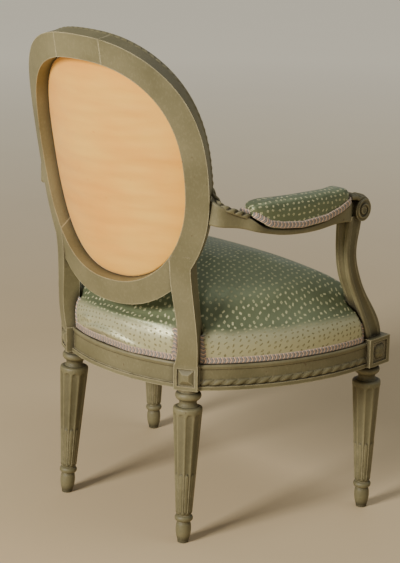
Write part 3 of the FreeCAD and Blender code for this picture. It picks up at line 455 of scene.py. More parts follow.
def fluted_sleeve(name, foot, head):
    columns = FLUTE_COLUMNS * FLUTES["count"]
    top = HEAD_RING["height"] + HEAD_RING["half"]
    turn = UP.rotation_difference(head - foot)
    points, painted_shades, faces = [], [], []
    for row in range(SLEEVE_ROWS + 1):
        height = SLEEVE_BOTTOM + (top - SLEEVE_BOTTOM) * row / SLEEVE_ROWS
        above = height - HEAD_RING["height"]
        for column in range(columns):
            place = (column / FLUTE_COLUMNS + 0.5) % 1 - 0.5
            flute = arched(place, FLUTES["half"], height, FLUTES["top"], FLUTES["bottom"])
            cable = arched(place, CABLES["half"], height, CABLES["top"], CABLES["bottom"])
            in_ring = above > -HEAD_RING["half"]
            reach = ring_reach(above) if in_ring else shaft_reach(height, flute, cable, min(row / 1.5, 1.0))
            angle = math.tau * column / columns
            points.append(foot + turn @ Vector((reach * math.cos(angle), reach * math.sin(angle), height)))
            # The flutes are painted darker than the ridges between them: painted shade.
            painted_shades.append(FLUTE_SHADE * max(flute - cable, 0.0))
    for row in range(SLEEVE_ROWS):
        for column in range(columns):
            corner, other = row * columns + column, row * columns + (column + 1) % columns
            faces.append((corner, other, other + columns, corner + columns))
    faces += [tuple(range(columns)), tuple(SLEEVE_ROWS * columns + column for column in range(columns))]
    return keep_values(mesh_piece(name, points, faces, PAINTED), hollow=painted_shades)


for name, foot, block in (("front", FRONT_BLOCK, FRONT_BLOCK), ("rear", REAR_FOOT, REAR_BLOCK)):
    head = block + UP * RAIL_BOTTOM
    fluted_sleeve("%s_leg_flutes_right" % name, foot, head)
    fluted_sleeve("%s_leg_flutes_left" % name, on_left(foot), on_left(head))

# Each front block has a carved rosette in a sunk square, on its outer side and on its front.
# Four broad petals lie over four narrow ones, round a button.
# The sizes of its relief are in millimetres.
ROSETTE_HALF, ROSETTE_CELLS = 0.0165, 36
ROSETTE_HEIGHT = RAIL_BOTTOM + 0.0255
PANEL_DEPTH = 0.0025
# The ground stands just above the sunk square and is painted fully dark, a painted shade round the petals.
ROSETTE = {"ground": 0.15, "reach": 9.5, "broad": 6.8, "narrow": 2.2, "petal_rise": 0.6, "broad_rise": 1.5,
           "vein": 0.9, "vein_width": 1.6, "cone": 2.8, "cone_reach": 14, "cone_slope": 9.1,
           "button": 3.8, "button_rise": 4.4, "shade": 1.15, "shade_rise": 2.4}


def rosette_height(across, up):
    reach = math.hypot(across, up) * 1000
    angle = math.atan2(up, across)
    broad = abs(math.cos(2 * angle + math.pi / 2)) ** 0.7
    narrow = abs(math.cos(2 * angle)) ** 2.5
    outline = ROSETTE["reach"] + ROSETTE["broad"] * broad + ROSETTE["narrow"] * narrow
    if reach > outline:
        return ROSETTE["ground"]
    button = math.sqrt(max(1 - (reach / ROSETTE["button"]) ** 2, 0.0)) * ROSETTE["button_rise"]
    dome = math.sin(math.pi * min(reach / outline, 1.0)) ** 0.6
    from_vein = math.sin(2 * (angle + math.pi / 4)) * reach / ROSETTE["vein_width"]
    vein = ROSETTE["vein"] * math.exp(-from_vein ** 2) * broad
    slope = min((ROSETTE["cone_reach"] - reach) / ROSETTE["cone_slope"], 1.0)
    cone = ROSETTE["cone"] * slope if slope > 0 else 0.0
    return max(cone + dome * (ROSETTE["petal_rise"] + ROSETTE["broad_rise"] * broad) - vein, button)


def rosette(name, centre, across, up, outward):
    """A square of carving on its own low block, facing outward, painted dark in its low places as their shade.
    """
    line = ROSETTE_CELLS + 1
    points, faces, painted_shades = [], [], []
    for row in range(line):
        for column in range(line):
            x, z = ((2 * place / ROSETTE_CELLS - 1) * ROSETTE_HALF for place in (column, row))
            rise = rosette_height(x, z)
            points.append(centre + across * x + up * z + outward * rise / 1000)
            # Painted shade: the lower a place, the darker it is painted.
            painted_shades.append(min(max(ROSETTE["shade"] - rise / ROSETTE["shade_rise"], 0.0), 1.0))
    for row in range(ROSETTE_CELLS):
        for column in range(ROSETTE_CELLS):
            corner = row * line + column
            faces.append((corner, corner + 1, corner + line + 1, corner + line))
    border = list(range(line))
    border += [row * line + ROSETTE_CELLS for row in range(1, line)]
    border += [ROSETTE_CELLS * line + column for column in range(ROSETTE_CELLS - 1, -1, -1)]
    border += [row * line for row in range(ROSETTE_CELLS - 1, 0, -1)]
    under = len(points)
    points += [points[index] - outward * 0.001 for index in border]
    # The block's sides are painted fully dark, as shade.
    painted_shades += [1.0] * len(border)
    for index, corner in enumerate(border):
        following = (index + 1) % len(border)
        faces.append((corner, border[following], under + following, under + index))
    faces.append(tuple(range(under, under + len(border))))
    return keep_values(mesh_piece(name, points, faces, PAINTED), hollow=painted_shades)


for side, sign in (("right", -1), ("left", 1)):
    out, ahead = Vector((sign, 0, 0)), Vector((0, -1, 0))
    middle = Vector((-sign * FRONT_BLOCK.x, FRONT_BLOCK.y, ROSETTE_HEIGHT))
    reach = FRONT_BLOCK_HALF - PANEL_DEPTH
    rosette("rosette_outer_" + side, middle + out * reach, ahead * sign, UP, out)
    rosette("rosette_front_" + side, middle + ahead * reach, out, UP, ahead)

# The arm ends in a scroll: a spiral fillet on each flat side, and a leaf laid over its top.
# Both are carved in the arm's own wood.
SCROLL_CENTRE = Vector((-0.268, -0.154, 0.5655))
SCROLL_RADIUS, SCROLL_HALF_WIDTH = 0.0195, 0.019
SPIRAL = {"outer": 0.0178, "inner": 0.0042, "turns": 1.75, "start": 100, "width": 0.0044, "rise": 0.0028}
LEAF = {"start": 22, "end": -112, "width": 0.036, "pitch": 0.0105, "rise": 0.0048, "lift": 0.0026,
        "root": 0.02, "spread": 0.98, "taper": 0.30, "slant": 0.75, "midrib": 0.45, "midrib_width": 0.09}
LEAF_ROOT = [(-0.124, 0.5925), (-0.133, 0.5915), (-0.141, 0.5900)]


def fillet(rise):
    return lambda run, side: rise * math.sqrt(1 - side * side) - 0.0001


def spiral_route(centre, outward):
    route = []
    for step in range(121):
        share = step / 120
        angle = math.radians(SPIRAL["start"]) - share * SPIRAL["turns"] * math.tau
        reach = SPIRAL["outer"] + (SPIRAL["inner"] - SPIRAL["outer"]) * share ** 0.85
        route.append((centre + Vector((0, reach * math.cos(angle), reach * math.sin(angle))), outward))
    return route


def leaf_height(run, side):
    """Lobed leaf with a midrib, narrowing towards its tip."""
    length = (SCROLL_RADIUS + LEAF["lift"]) * math.radians(LEAF["start"] - LEAF["end"]) + LEAF["root"]
    share = run / length
    spread = LEAF["spread"] - LEAF["taper"] * share ** 3
    if abs(side) > spread:
        return -0.0006
    lobes = 0.5 + 0.5 * math.sin(math.tau * (run / LEAF["pitch"] - LEAF["slant"] * abs(side)))
    body = (1 - (abs(side) / spread) ** 4) * (0.35 + 0.65 * lobes)
    midrib = LEAF["midrib"] * math.exp(-(side / LEAF["midrib_width"]) ** 2)
    return LEAF["rise"] * max(body, midrib + 0.3)


for side, sign in (("right", 1), ("left", -1)):
    centre = Vector((SCROLL_CENTRE.x * sign, SCROLL_CENTRE.y, SCROLL_CENTRE.z))
    for face, way in (("outer", -sign), ("inner", sign)):
        outward = Vector((way, 0, 0))
        route = spiral_route(centre + outward * SCROLL_HALF_WIDTH, outward)
        relief_strip("scroll_fillet_%s_%s" % (face, side), evenly(route, 0.0009), SPIRAL["width"], 7,
                     fillet(SPIRAL["rise"]), PAINTED, sunk=0.001)
    over = [(Vector((centre.x, y, z)), UP) for y, z in LEAF_ROOT]
    for step in range(61):
        angle = math.radians(LEAF["start"] + (LEAF["end"] - LEAF["start"]) * step / 60)
        outward = Vector((0, math.sin(angle), math.cos(angle)))
        over.append((centre + outward * (SCROLL_RADIUS + LEAF["lift"] * (1 - step / 60)), outward))
    relief_strip("scroll_leaf_" + side, evenly(over, 0.0010), LEAF["width"], 31, leaf_height, PAINTED,
                 sunk=0.005)

# Bare beech braces are glued across the inside corners of the seat.
# They were never painted, and have darkened with age.
BARE_BEECH = (164, 126, 84)
BARE_BEECH_GRAIN = (118, 84, 50)


def bare_beech():
    finish = Finish("bare_beech")
    place = finish.node("TexCoord", output="Object")
    grain = finish.noise(finish.node("Mapping", {}, {"Vector": place, "Scale": (30, 30, 220)}), 1.0, 5)
    fleck = finish.noise(finish.node("Mapping", {}, {"Vector": place, "Scale": (900, 900, 160)}), 1.0, 1)
    colour = finish.mix((grain * 1.8 - 0.4).clamped(), shade(*BARE_BEECH), shade(*BARE_BEECH_GRAIN))
    return finish.cover(Base_Color=finish.mix((fleck - 0.6).clamped(), colour, shade(*BARE_BEECH_GRAIN)),
                        Roughness=0.6 + grain * 0.2, Normal=finish.relief(grain + fleck * 0.5, 0.3, 0.0006))


finish_nodes("bare_wood", bare_beech())

# Jute webbing is strained across the seat, over and under, and tacked to the tops of the rails.
# Hessian lies on it, and the stuffing on the hessian.
JUTE = (150, 124, 84)
JUTE_DARK = (96, 76, 48)
HESSIAN_DARK = (120, 96, 60)
WEBBING_WIDTH, WEBBING_PITCH, WEBBING_THICK = 0.050, 0.072, 0.0015
WEBBING_INSET, WEBBING_RIB = 0.009, 0.00012
SEAT_MIDDLE = Vector((0, -0.042, 0))
STILE_ROOM, BLOCK_ROOM = (0.196, math.radians(9)), (0.270, math.radians(8.5))


def woven_jute(name, threads, dark):
    finish = Finish(name)
    place = finish.node("TexCoord", output="Object")
    weft, warp = (finish.node("TexWave", {"bands_direction": axis},
                              {"Vector": place, "Scale": threads, "Distortion": 1.2, "Detail": 1.0})
                  for axis in ("X", "Y"))
    weave = weft.larger(warp)
    slubs = finish.noise(place, 260, 3)
    colour = finish.mix((weave * 0.8 + slubs * 0.5 - 0.2).clamped(), shade(*dark), shade(*JUTE))
    return finish.cover(Base_Color=colour, Roughness=0.85 + slubs * 0.1,
                        Normal=finish.relief(weave + slubs * 0.4, 0.6, 0.0006))


def plan_reach(direction, inset):
    """How far the seat's outline is from its middle, drawn in by inset."""
    nearest = 10.0
    for centre, radius in (BACK_ARC, FRONT_ARC, RIGHT_ARC, LEFT_ARC):
        offset = centre - SEAT_MIDDLE
        along = direction.dot(offset)
        nearest = min(nearest, along + math.sqrt((radius - inset) ** 2 - offset.length_squared + along ** 2))
    return nearest


def clear_reach(direction, inset):
    """The same, stopped short of the stiles and the front blocks."""
    reach = plan_reach(direction, inset)
    for corner, (limit, spread) in ((REAR_BLOCK, STILE_ROOM), (FRONT_BLOCK, BLOCK_ROOM)):
        for post in (corner, on_left(corner)):
            if (post - SEAT_MIDDLE).angle(direction) < spread:
                reach = min(reach, limit)
    return reach


def web_height(run, side):
    """The upper face of a web, finely ribbed along its length."""
    return WEBBING_THICK * 0.55 + WEBBING_RIB * math.cos(side * 22)


def webbing_strip(name, place, along_x, material):
    """One web, whose height goes over and under the webs that cross it."""
    direction = Vector((1, 0, 0)) if along_x else Vector((0, 1, 0))
    sideways = Vector((0, 1, 0)) if along_x else Vector((1, 0, 0))
    middle = SEAT_MIDDLE + sideways * place
    ends = []
    for way in (-1, 1):
        reach = 0.0
        while reach < 0.4:
            rims = [middle + direction * way * reach + sideways * edge * WEBBING_WIDTH / 2
                    for edge in (-1, 1)]
            if any((rim - SEAT_MIDDLE).length > clear_reach((rim - SEAT_MIDDLE).normalized(), WEBBING_INSET)
                   for rim in rims):
                break
            reach += 0.001
        ends.append(way * reach)
    phase = math.pi * (round(place / WEBBING_PITCH - 0.25) % 2)
    route = []
    for step in range(141):
        along = ends[0] + (ends[1] - ends[0]) * step / 140
        swing = math.cos(math.pi * along / WEBBING_PITCH + phase + (math.pi / 2 if not along_x else 0.0))
        lift = RAIL_TOP + WEBBING_THICK * (0.75 + 0.55 * (swing if along_x else -swing))
        route.append((middle + direction * along + UP * lift, UP))
    return relief_strip(name, evenly(route, 0.003), WEBBING_WIDTH, 41, web_height, material,
                        sunk=WEBBING_THICK * 0.2)


JUTE_WEB = woven_jute("jute_webbing", 220, JUTE_DARK)
webs = [webbing_strip("webbing_across_%d" % index, (index - 1.5) * WEBBING_PITCH, True, JUTE_WEB)
        for index in range(4)]
webs += [webbing_strip("webbing_along_%d" % index, (index - 2) * WEBBING_PITCH, False, JUTE_WEB)
         for index in range(5)]
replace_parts(webs[0], "seat_webbing")
finish_nodes("webbing", JUTE_WEB)
for index, web in enumerate(webs):
    rails = ["seat_rail_right", "seat_rail_left"] if index < 4 else ["seat_rail_back", "seat_rail_front"]

HESSIAN_HEIGHT, HESSIAN_INSET = 0.3256, 0.012
HESSIAN = woven_jute("hessian", 330, HESSIAN_DARK)
finish_nodes("hessian", HESSIAN)
finish_nodes("stuffing", HESSIAN)


def disc_sheet(name, spokes, rings, point_at, thick, material):
    """A thin closed sheet on spokes and rings; point_at takes an angle and a share of the way out."""
    layers = []
    for lift in (0.0, thick):
        layer = [point_at(0.0, 0.0, lift)]
        layer += [point_at(math.tau * spoke / spokes, ring / rings, lift)
                  for ring in range(1, rings + 1) for spoke in range(spokes)]
        layers.append(layer)
    size = len(layers[0])
    faces = []
    for base in (0, size):
        for spoke in range(spokes):
            other = (spoke + 1) % spokes
            faces.append((base, base + 1 + spoke, base + 1 + other))
            for ring in range(rings - 1):
                inner, outer = base + 1 + ring * spokes, base + 1 + (ring + 1) * spokes
                faces.append((inner + spoke, outer + spoke, outer + other, inner + other))
    rim = 1 + (rings - 1) * spokes
    faces += [(rim + spoke, rim + (spoke + 1) % spokes, size + rim + (spoke + 1) % spokes, size + rim + spoke)
              for spoke in range(spokes)]
    return mesh_piece(name, layers[0] + layers[1], faces, material)


def seat_hessian_point(angle, share, lift):
    direction = Vector((math.cos(angle), math.sin(angle), 0))
    place = SEAT_MIDDLE + direction * clear_reach(direction, HESSIAN_INSET) * share
    sag = 0.0003 * math.cos(place.x * math.tau / WEBBING_PITCH) * math.cos(place.y * math.tau / WEBBING_PITCH)
    return place + UP * (HESSIAN_HEIGHT + sag + lift)


def seat_hessian_edge(angle):
    return clear_reach(Vector((math.cos(angle), math.sin(angle), 0)), HESSIAN_INSET)


def flat_area(edge, spokes=180):
    """Area inside an outline that is given by its reach from the middle at each angle."""
    return sum(0.5 * edge(math.tau * spoke / spokes) ** 2 * math.tau / spokes for spoke in range(spokes))


seat_hessian = disc_sheet("seat_hessian_cloth", 180, 40, seat_hessian_point, 0.0007, HESSIAN)
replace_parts(seat_hessian, "seat_hessian")
flat_area(seat_hessian_edge)

# The seat is horsehair under green silk lampas: a satin ground scattered with small gold squares
# and dashes. It is domed, boxed at the back, pulled down over the edge and tacked to the rails.
# The boxing, below a wavering line under the ridge, is painted lighter as painted light and sheen, with its
# motifs painted darker than their ground.
SATIN_GROUND = (128, 139, 104)
SATIN_SHADE = (104, 114, 86)
# Ground and motif colours under the boxing's painted light and sheen.
SATIN_PAINTED_SHEEN = (202, 200, 162)
MOTIF = (206, 204, 158)
MOTIF_IN_PAINTED_SHEEN = (112, 106, 68)
MOTIF_PITCH = 0.0100
MOTIF_HALF, MOTIF_STRETCH = (0.0016, 0.0022), (0.0012, 0.0010)
RIDGE_HEIGHT = RAIL_TOP + 0.060
PAINTED_SHEEN_HEIGHT, PAINTED_SHEEN_WAVER = RIDGE_HEIGHT - 0.006, 0.012


def green_lampas():
    finish = Finish("green_lampas")
    cloth = finish.node("UVMap", {"uv_map": "cloth"})
    cell = {"Vector": cloth, "Scale": 1 / MOTIF_PITCH, "Randomness": 0.4}
    flat_cells = {"voronoi_dimensions": "2D", "feature": "F1"}
    place = finish.node("TexVoronoi", flat_cells, cell, "Position")
    lot = finish.node("TexVoronoi", flat_cells, cell, "Color")
    chance = finish.node("SeparateColor", {}, {0: lot}, "Red")
    second = finish.node("SeparateColor", {}, {0: lot}, "Green")
    local = finish.node("VectorMath", {"operation": "SUBTRACT"}, {0: cloth, 1: place})
    turned = finish.node("VectorRotate", {"rotation_type": "Z_AXIS"},
                         {"Vector": local, "Angle": chance * math.tau})
    x = abs(finish.node("SeparateXYZ", {}, {0: turned}, "X"))
    y = abs(finish.node("SeparateXYZ", {}, {0: turned}, "Y"))
    wide = x / (MOTIF_HALF[0] + second * MOTIF_STRETCH[0])
    tall = y / (MOTIF_HALF[1] - second * MOTIF_STRETCH[1])
    shape = wide.larger(tall)
    square = ((1 - shape) * 5).clamped()
    eye = ((0.42 - shape) * 8).clamped() * ((0.55 - second) * 20).clamped()
    motif = (square - eye).clamped()
    object_place = finish.node("TexCoord", output="Object")
    tone = finish.noise(object_place, 9, 3)
    pucker = finish.noise(object_place, 42, 2)
    threads = finish.node("TexWave", {"bands_direction": "X"},
                          {"Vector": cloth, "Scale": 420, "Distortion": 0.6})
    ground = finish.mix((tone * 2 - 0.5).clamped(), shade(*SATIN_SHADE), shade(*SATIN_GROUND))
    height = motif * 0.35 + threads * 0.12 + pucker * 2.2
    up = finish.node("SeparateXYZ", {}, {0: object_place}, "Z")
    # Below the ridge the ground is painted lighter and the motifs darker: painted light and sheen on the boxing.
    painted_sheen = ((PAINTED_SHEEN_HEIGHT - up + tone * PAINTED_SHEEN_WAVER) * 90).clamped()
    ground = finish.mix(painted_sheen * 0.85, ground, shade(*SATIN_PAINTED_SHEEN))
    thread = finish.mix(painted_sheen, shade(*MOTIF), shade(*MOTIF_IN_PAINTED_SHEEN))
    return finish.cover(Base_Color=finish.mix(motif * 0.85, ground, thread),
                        Roughness=0.33 + motif * 0.3 + tone * 0.08, Metallic=0.42 - motif * 0.38,
                        Normal=finish.relief(height, 0.35, 0.0011))


LAMPAS = green_lampas()


SWELLING = {"pressure": 4.0, "moments": 20}


def settle(piece):
    """Writes a piece's modifiers into its mesh."""
    shaped = piece.evaluated_get(bpy.context.evaluated_depsgraph_get())
    piece.data = bpy.data.meshes.new_from_object(shaped)
    piece.modifiers.clear()


def swell(name, node, voxel, cap, tacked, shape=None):
    """Cloth pulled over a stuffed form: its skin, swollen by air where tacked(point) doesn't hold it."""
    piece = bpy.data.objects.new(name, frame["nodes"][node].data.copy())
    bpy.context.scene.collection.objects.link(piece)
    piece.data.materials.clear()
    skin = piece.modifiers.new("skin", "REMESH")
    skin.mode = "VOXEL"
    skin.voxel_size = voxel
    settle(piece)
    if shape:
        for vertex in piece.data.vertices:
            vertex.co = shape(vertex.co)
    homes = [vertex.co.copy() for vertex in piece.data.vertices]
    held = piece.vertex_groups.new(name="tacked")
    held.add([index for index, home in enumerate(homes) if tacked(home)], 1.0, "REPLACE")
    cloth = piece.modifiers.new("cloth", "CLOTH")
    cloth.settings.vertex_group_mass = "tacked"
    cloth.settings.use_pressure = True
    cloth.settings.uniform_pressure_force = SWELLING["pressure"]
    cloth.settings.effector_weights.gravity = 0.0
    for moment in range(1, SWELLING["moments"] + 1):
        bpy.context.scene.frame_set(moment)
    settle(piece)
    for vertex, home in zip(piece.data.vertices, homes):
        move = vertex.co - home
        if move.length > cap:
            vertex.co = home + move * (cap / move.length)
    piece.modifiers.new("smooth", "SUBSURF").levels = 1
    settle(piece)
    return piece


def press_folds(piece, folds):
    """Raises or sinks the cloth along lines; a fold is its points, its reach and its rise."""
    normals = [Vector(normal.vector) for normal in piece.data.vertex_normals]
    for points, reach, rise in folds:
        line = [Vector(point) for point in points]
        for vertex, normal in zip(piece.data.vertices, normals):
            nearest = 1.0
            for index, (start, end) in enumerate(zip(line, line[1:])):
                along = (vertex.co - start).dot(end - start) / (end - start).length_squared
                along = max(0.0, min(1.0, along))
                away = (vertex.co - start.lerp(end, along)).length
                if away < nearest:
                    nearest, place = away, (index + along) / (len(line) - 1)
            if nearest < 3 * reach:
                swell_here = math.sin(math.pi * min(max(place, 0.03), 0.97)) ** 0.6
                vertex.co += normal * rise * swell_here * math.exp(-(nearest / reach) ** 2)


def dress(piece, cloth_place, nodes):
    """Lays the pattern on a swollen piece, gives it the lampas and hides the solids that it replaces."""
    mesh = piece.data
    layer = mesh.uv_layers.new(name="cloth")
    places = [cloth_place(vertex.co) for vertex in mesh.vertices]
    for loop in mesh.loops:
        layer.data[loop.index].uv = places[loop.vertex_index]
    mesh.materials.clear()
    mesh.materials.append(LAMPAS)
    mesh.shade_smooth()
    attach(piece, "root")
    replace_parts(piece, *nodes)
    return piece


FALLS = [(BACK_ARC, (0, 1)), (FRONT_ARC, (0, -1)), (RIGHT_ARC, (-1, 0)), (LEFT_ARC, (1, 0))]


def seat_side(point):
    """Which way the cloth falls at a place near the seat's edge."""
    direction = (Vector((point.x, point.y, 0)) - SEAT_MIDDLE).normalized()
    reaches = []
    for (centre, radius), fall in FALLS:
        offset = centre - SEAT_MIDDLE
        along = direction.dot(offset)
        reaches.append((along + math.sqrt(radius ** 2 - offset.length_squared + along ** 2), fall))
    return min(reaches)[1]


def seat_cloth(point):
    fall = seat_side(point)
    drop = max(RIDGE_HEIGHT - point.z, 0.0)
    return point.x + fall[0] * drop, point.y + fall[1] * drop


SUPPORT_FOOT = Vector((-0.268, -0.190, 0))
# Folds of the seat's cover: the line of each, its reach to either side and its rise.
SEAT_FOLDS = [
    ([(0.092, 0.142, 0.338), (0.045, 0.156, 0.347), (0.012, 0.159, 0.346), (-0.020, 0.159, 0.341),
      (-0.058, 0.152, 0.333)], 0.0055, 0.0080),
    ([(0.100, 0.138, 0.352), (0.080, 0.146, 0.356), (0.062, 0.152, 0.355)], 0.0045, 0.0055),
    ([(0.085, 0.145, 0.330), (0.030, 0.158, 0.333), (-0.020, 0.159, 0.330)], 0.0045, -0.0040),
    ([(0.118, 0.119, 0.376), (0.060, 0.145, 0.381), (0.0, 0.153, 0.383), (-0.060, 0.145, 0.381),
      (-0.116, 0.120, 0.376)], 0.0075, 0.0045),
]


def seat_tacked(point):
    posts = [REAR_BLOCK, on_left(REAR_BLOCK), SUPPORT_FOOT, on_left(SUPPORT_FOOT)]
    near = min((Vector((point.x, point.y, 0)) - post).length for post in posts)
    return point.z < RAIL_TOP + 0.009 or near < 0.044


seat = swell("seat_upholstery", "seat_stuffing", 0.0055, 0.006, seat_tacked)
press_folds(seat, SEAT_FOLDS)
dress(seat, seat_cloth, ["seat_stuffing", "seat_cover"])

# The arm pads are stuffed the same way and stand on the arms between the scroll and the back.
# Rows from back to front: place along the arm, the arm's middle, its top and the pad's share of its width.
PAD_WIDTH, PAD_TOP, PAD_CORNER = 0.047, 0.613, 0.36
PAD_ROWS = [
    (0.080, 0.2325, 0.585, 0.62), (0.077, 0.2338, 0.5825, 0.78), (0.068, 0.237, 0.576, 0.93),
    (0.056, 0.241, 0.568, 1), (0.034, 0.247, 0.563, 1), (-0.005, 0.256, 0.559, 1),
    (-0.057, 0.264, 0.563, 1), (-0.090, 0.267, 0.572, 1), (-0.111, 0.268, 0.5797, 0.93),
    (-0.118, 0.268, 0.581, 0.78), (-0.121, 0.268, 0.5814, 0.62),
]


def pad_row(y):
    """The arm's middle and top and the pad's share of its width at a place along the arm."""
    y = min(max(y, PAD_ROWS[-1][0]), PAD_ROWS[0][0])
    for (y1, *first), (y2, *second) in zip(PAD_ROWS, PAD_ROWS[1:]):
        if y2 <= y <= y1:
            share = (y1 - y) / (y1 - y2)
            return [a + (b - a) * share for a, b in zip(first, second)]


def pad_tacked(point):
    return point.z < pad_row(point.y)[1] + 0.010


def pad_square(point):
    """Fills the pad's rounded underside out to its full width, so that it sits flat on the arm."""
    middle, top, share = pad_row(point.y)
    half = PAD_WIDTH * share / 2
    corner = PAD_CORNER * min(2 * half, PAD_TOP - top)
    height = max(point.z - top - 0.0006, 0.0)
    if height >= corner:
        return point
    width_here = half - corner + math.sqrt(corner ** 2 - (corner - height) ** 2)
    across = (abs(point.x) - middle) * half / width_here
    across = max(-half, min(half, across))
    return Vector((math.copysign(middle + across, point.x), point.y, point.z))


def pad_cloth(point):
    return point.y, abs(abs(point.x) - pad_row(point.y)[0]) * 0.7 - point.z


for side in ("right", "left"):
    pad = swell("arm_pad_" + side, "arm_pad_stuffing_" + side, 0.003, 0.0028, pad_tacked, pad_square)
    dress(pad, pad_cloth, ["arm_pad_stuffing_" + side, "arm_pad_cover_" + side])

# The inside back is a shallow pad of the same cloth, held in the oval by its braid.


def back_place(point):
    """A point's place on the back: across, up and in front of the rear face."""
    local = OVAL_LEAN.transposed() @ (point - OVAL_CENTRE)
    radius = math.hypot(local.x, local.y + OVAL_CURVE)
    return local.x / radius * OVAL_CURVE, local.z, OVAL_CURVE - radius


def edge_share(across, up):
    """How far out a place is, from 0 in the middle to 1 at the oval's inner edge."""
    wide = across / (OVAL_HALF_WIDTH - OVAL_BORDER) / (1 + OVAL_EGG * up / OVAL_HALF_HEIGHT)
    tall = up / (OVAL_HALF_HEIGHT - OVAL_BORDER_TOP)
    return (abs(wide) ** OVAL_POWER + abs(tall) ** OVAL_POWER) ** (1 / OVAL_POWER)


def back_tacked(point):
    across, up, depth = back_place(point)
    return depth < OVAL_THICK + 0.002 or (edge_share(across, up) > 1.0 and depth < OVAL_THICK + 0.010)


def back_cloth_place(point):
    across, up, _ = back_place(point)
    return across, up


inside_back = swell("inside_back_upholstery", "back_stuffing", 0.0045, 0.007, back_tacked)
dress(inside_back, back_cloth_place, ["back_stuffing", "inside_back_cover"])

# The outer back is apricot satin, strained over a hessian and tacked inside the oval's rear edge.
# It has faded in patches and pulls into faint level wrinkles.
APRICOT = (255, 178, 62)
APRICOT_FADED = (255, 198, 88)
APRICOT_WORN = (230, 144, 40)
CLOTH_DEPTH, CLOTH_THICK = 0.0222, 0.0009
BACK_HESSIAN_DEPTH, BACK_HESSIAN_THICK = 0.0263, 0.0008
CLOTH_EDGE = OVAL_BORDER + 0.0004


def apricot_satin():
    finish = Finish("apricot_satin")
    place = finish.node("TexCoord", output="Object")
    patch = finish.noise(place, 7, 4)
    level = finish.noise(finish.node("Mapping", {}, {"Vector": place, "Scale": (5, 5, 34)}), 1.0, 3)
    warp, weft = (finish.node("TexWave", {"bands_direction": axis},
                              {"Vector": place, "Scale": 400, "Distortion": 0.5}) for axis in ("X", "Z"))
    stain = ((finish.noise(place, 120, 1) - 0.76) * 25).clamped()
    colour = finish.mix((patch * 2.4 - 0.7).clamped(), shade(*APRICOT), shade(*APRICOT_FADED))
    colour = finish.mix((level * 2.2 - 0.9).clamped() * 0.55, colour, shade(*APRICOT_WORN))
    colour = finish.mix(stain * 0.5, colour, shade(*APRICOT_WORN))
    return finish.cover(Base_Color=colour, Roughness=0.5 + level * 0.12, Sheen_Weight=0.3,
                        Normal=finish.relief(level * 3.2 + warp * 0.15 + weft * 0.15, 0.30, 0.0012))


def back_sheet_point(depth, sag):
    def point_at(angle, share, lift):
        rim = oval_edge(CLOTH_EDGE, angle, 0.0)
        across, up, _ = back_place(rim)
        across, up = across * share, up * share
        crease = 0.0004 * math.sin(up * 170 + 1.5 * math.sin(across * 24))
        crease += 0.0003 * math.sin(up * 300 + across * 31)
        hollow = sag * (1 - share ** 2)
        return on_back(across, up, depth + hollow + crease * (1 - share ** 6) * (sag != 0) + lift)
    return point_at


def oval_cut(inset):
    """Flat width, length and area of a cloth cut to the oval, allowing for its curve round the sitter."""
    half = OVAL_HALF_WIDTH - inset
    width = 2 * OVAL_CURVE * math.asin(half * (1 + OVAL_EGG) / OVAL_CURVE)
    length = 2 * (OVAL_HALF_HEIGHT - OVAL_BORDER_TOP)
    steps = 400
    area = 0.0
    for step in range(steps):
        up = length * ((step + 0.5) / steps - 0.5)
        bulge = (1 - abs(2 * up / length) ** OVAL_POWER) ** (1 / OVAL_POWER)
        reach = bulge * half * (1 + OVAL_EGG * up / OVAL_HALF_HEIGHT)
        area += 2 * OVAL_CURVE * math.asin(reach / OVAL_CURVE) * length / steps
    return (width, length), area


cut, cut_area = oval_cut(CLOTH_EDGE)
outer_cloth = disc_sheet("outer_back_satin", 160, 60, back_sheet_point(CLOTH_DEPTH, -0.0025), CLOTH_THICK,
                         apricot_satin())
back_hessian = disc_sheet("back_hessian_cloth", 160, 30, back_sheet_point(BACK_HESSIAN_DEPTH, 0.0),
                          BACK_HESSIAN_THICK, HESSIAN)
for piece, node in ((outer_cloth, "outer_back_cloth"), (back_hessian, "back_hessian")):
    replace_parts(piece, node)

# A woven gimp, two rows of slanting loops in pink-beige and lilac-grey, is glued over the tacks.
# It edges the seat, climbs beside the stiles and arm supports, and rings the pads and the inside back.
GIMP_PINK = (214, 184, 156)
GIMP_LILAC = (144, 142, 140)
GIMP_SHADOW = (66, 48, 42)
GIMP = {"width": 0.0112, "rise": 0.0020, "pitch": 0.0036}


def woven_gimp():
    finish = Finish("woven_gimp")
    run = finish.node("Attribute", {"attribute_name": "run"}, output="Fac")
    side = finish.node("Attribute", {"attribute_name": "side"}, output="Fac")
    loops = ((run / GIMP["pitch"] + abs(side) * 0.9) * math.tau).wave()
    pairs = ((run / GIMP["pitch"] + abs(side) * 0.9) * math.pi).wave()
    place = finish.node("TexCoord", output="Object")
    fuzz = finish.noise(place, 900, 2)
    colour = finish.mix((pairs * 3 + 0.5).clamped(), shade(*GIMP_PINK), shade(*GIMP_LILAC))
    colour = finish.mix((0.1 - loops * 0.8).clamped() * 0.8, colour, shade(*GIMP_SHADOW))
    colour = finish.mix(((abs(side) - 0.82) * 8).clamped() * 0.6, colour, shade(*GIMP_PINK))
    return finish.cover(Base_Color=colour, Roughness=0.65 + fuzz * 0.2, Sheen_Weight=0.3,
                        Normal=finish.relief(fuzz, 0.4, 0.0004))


def gimp_height(run, side):
    loops = abs(math.sin(math.pi * (run / GIMP["pitch"] + abs(side) * 0.9)))
    return GIMP["rise"] * (1 - abs(side) ** 6) * (0.35 + 0.65 * loops) * (0.75 + 0.25 * abs(side))


WOVEN_GIMP = woven_gimp()
finish_nodes("braid", WOVEN_GIMP)


def surface_of(piece):
    mesh = piece.data
    return BVHTree.FromPolygons([vertex.co for vertex in mesh.vertices],
                                [face.vertices for face in mesh.polygons])


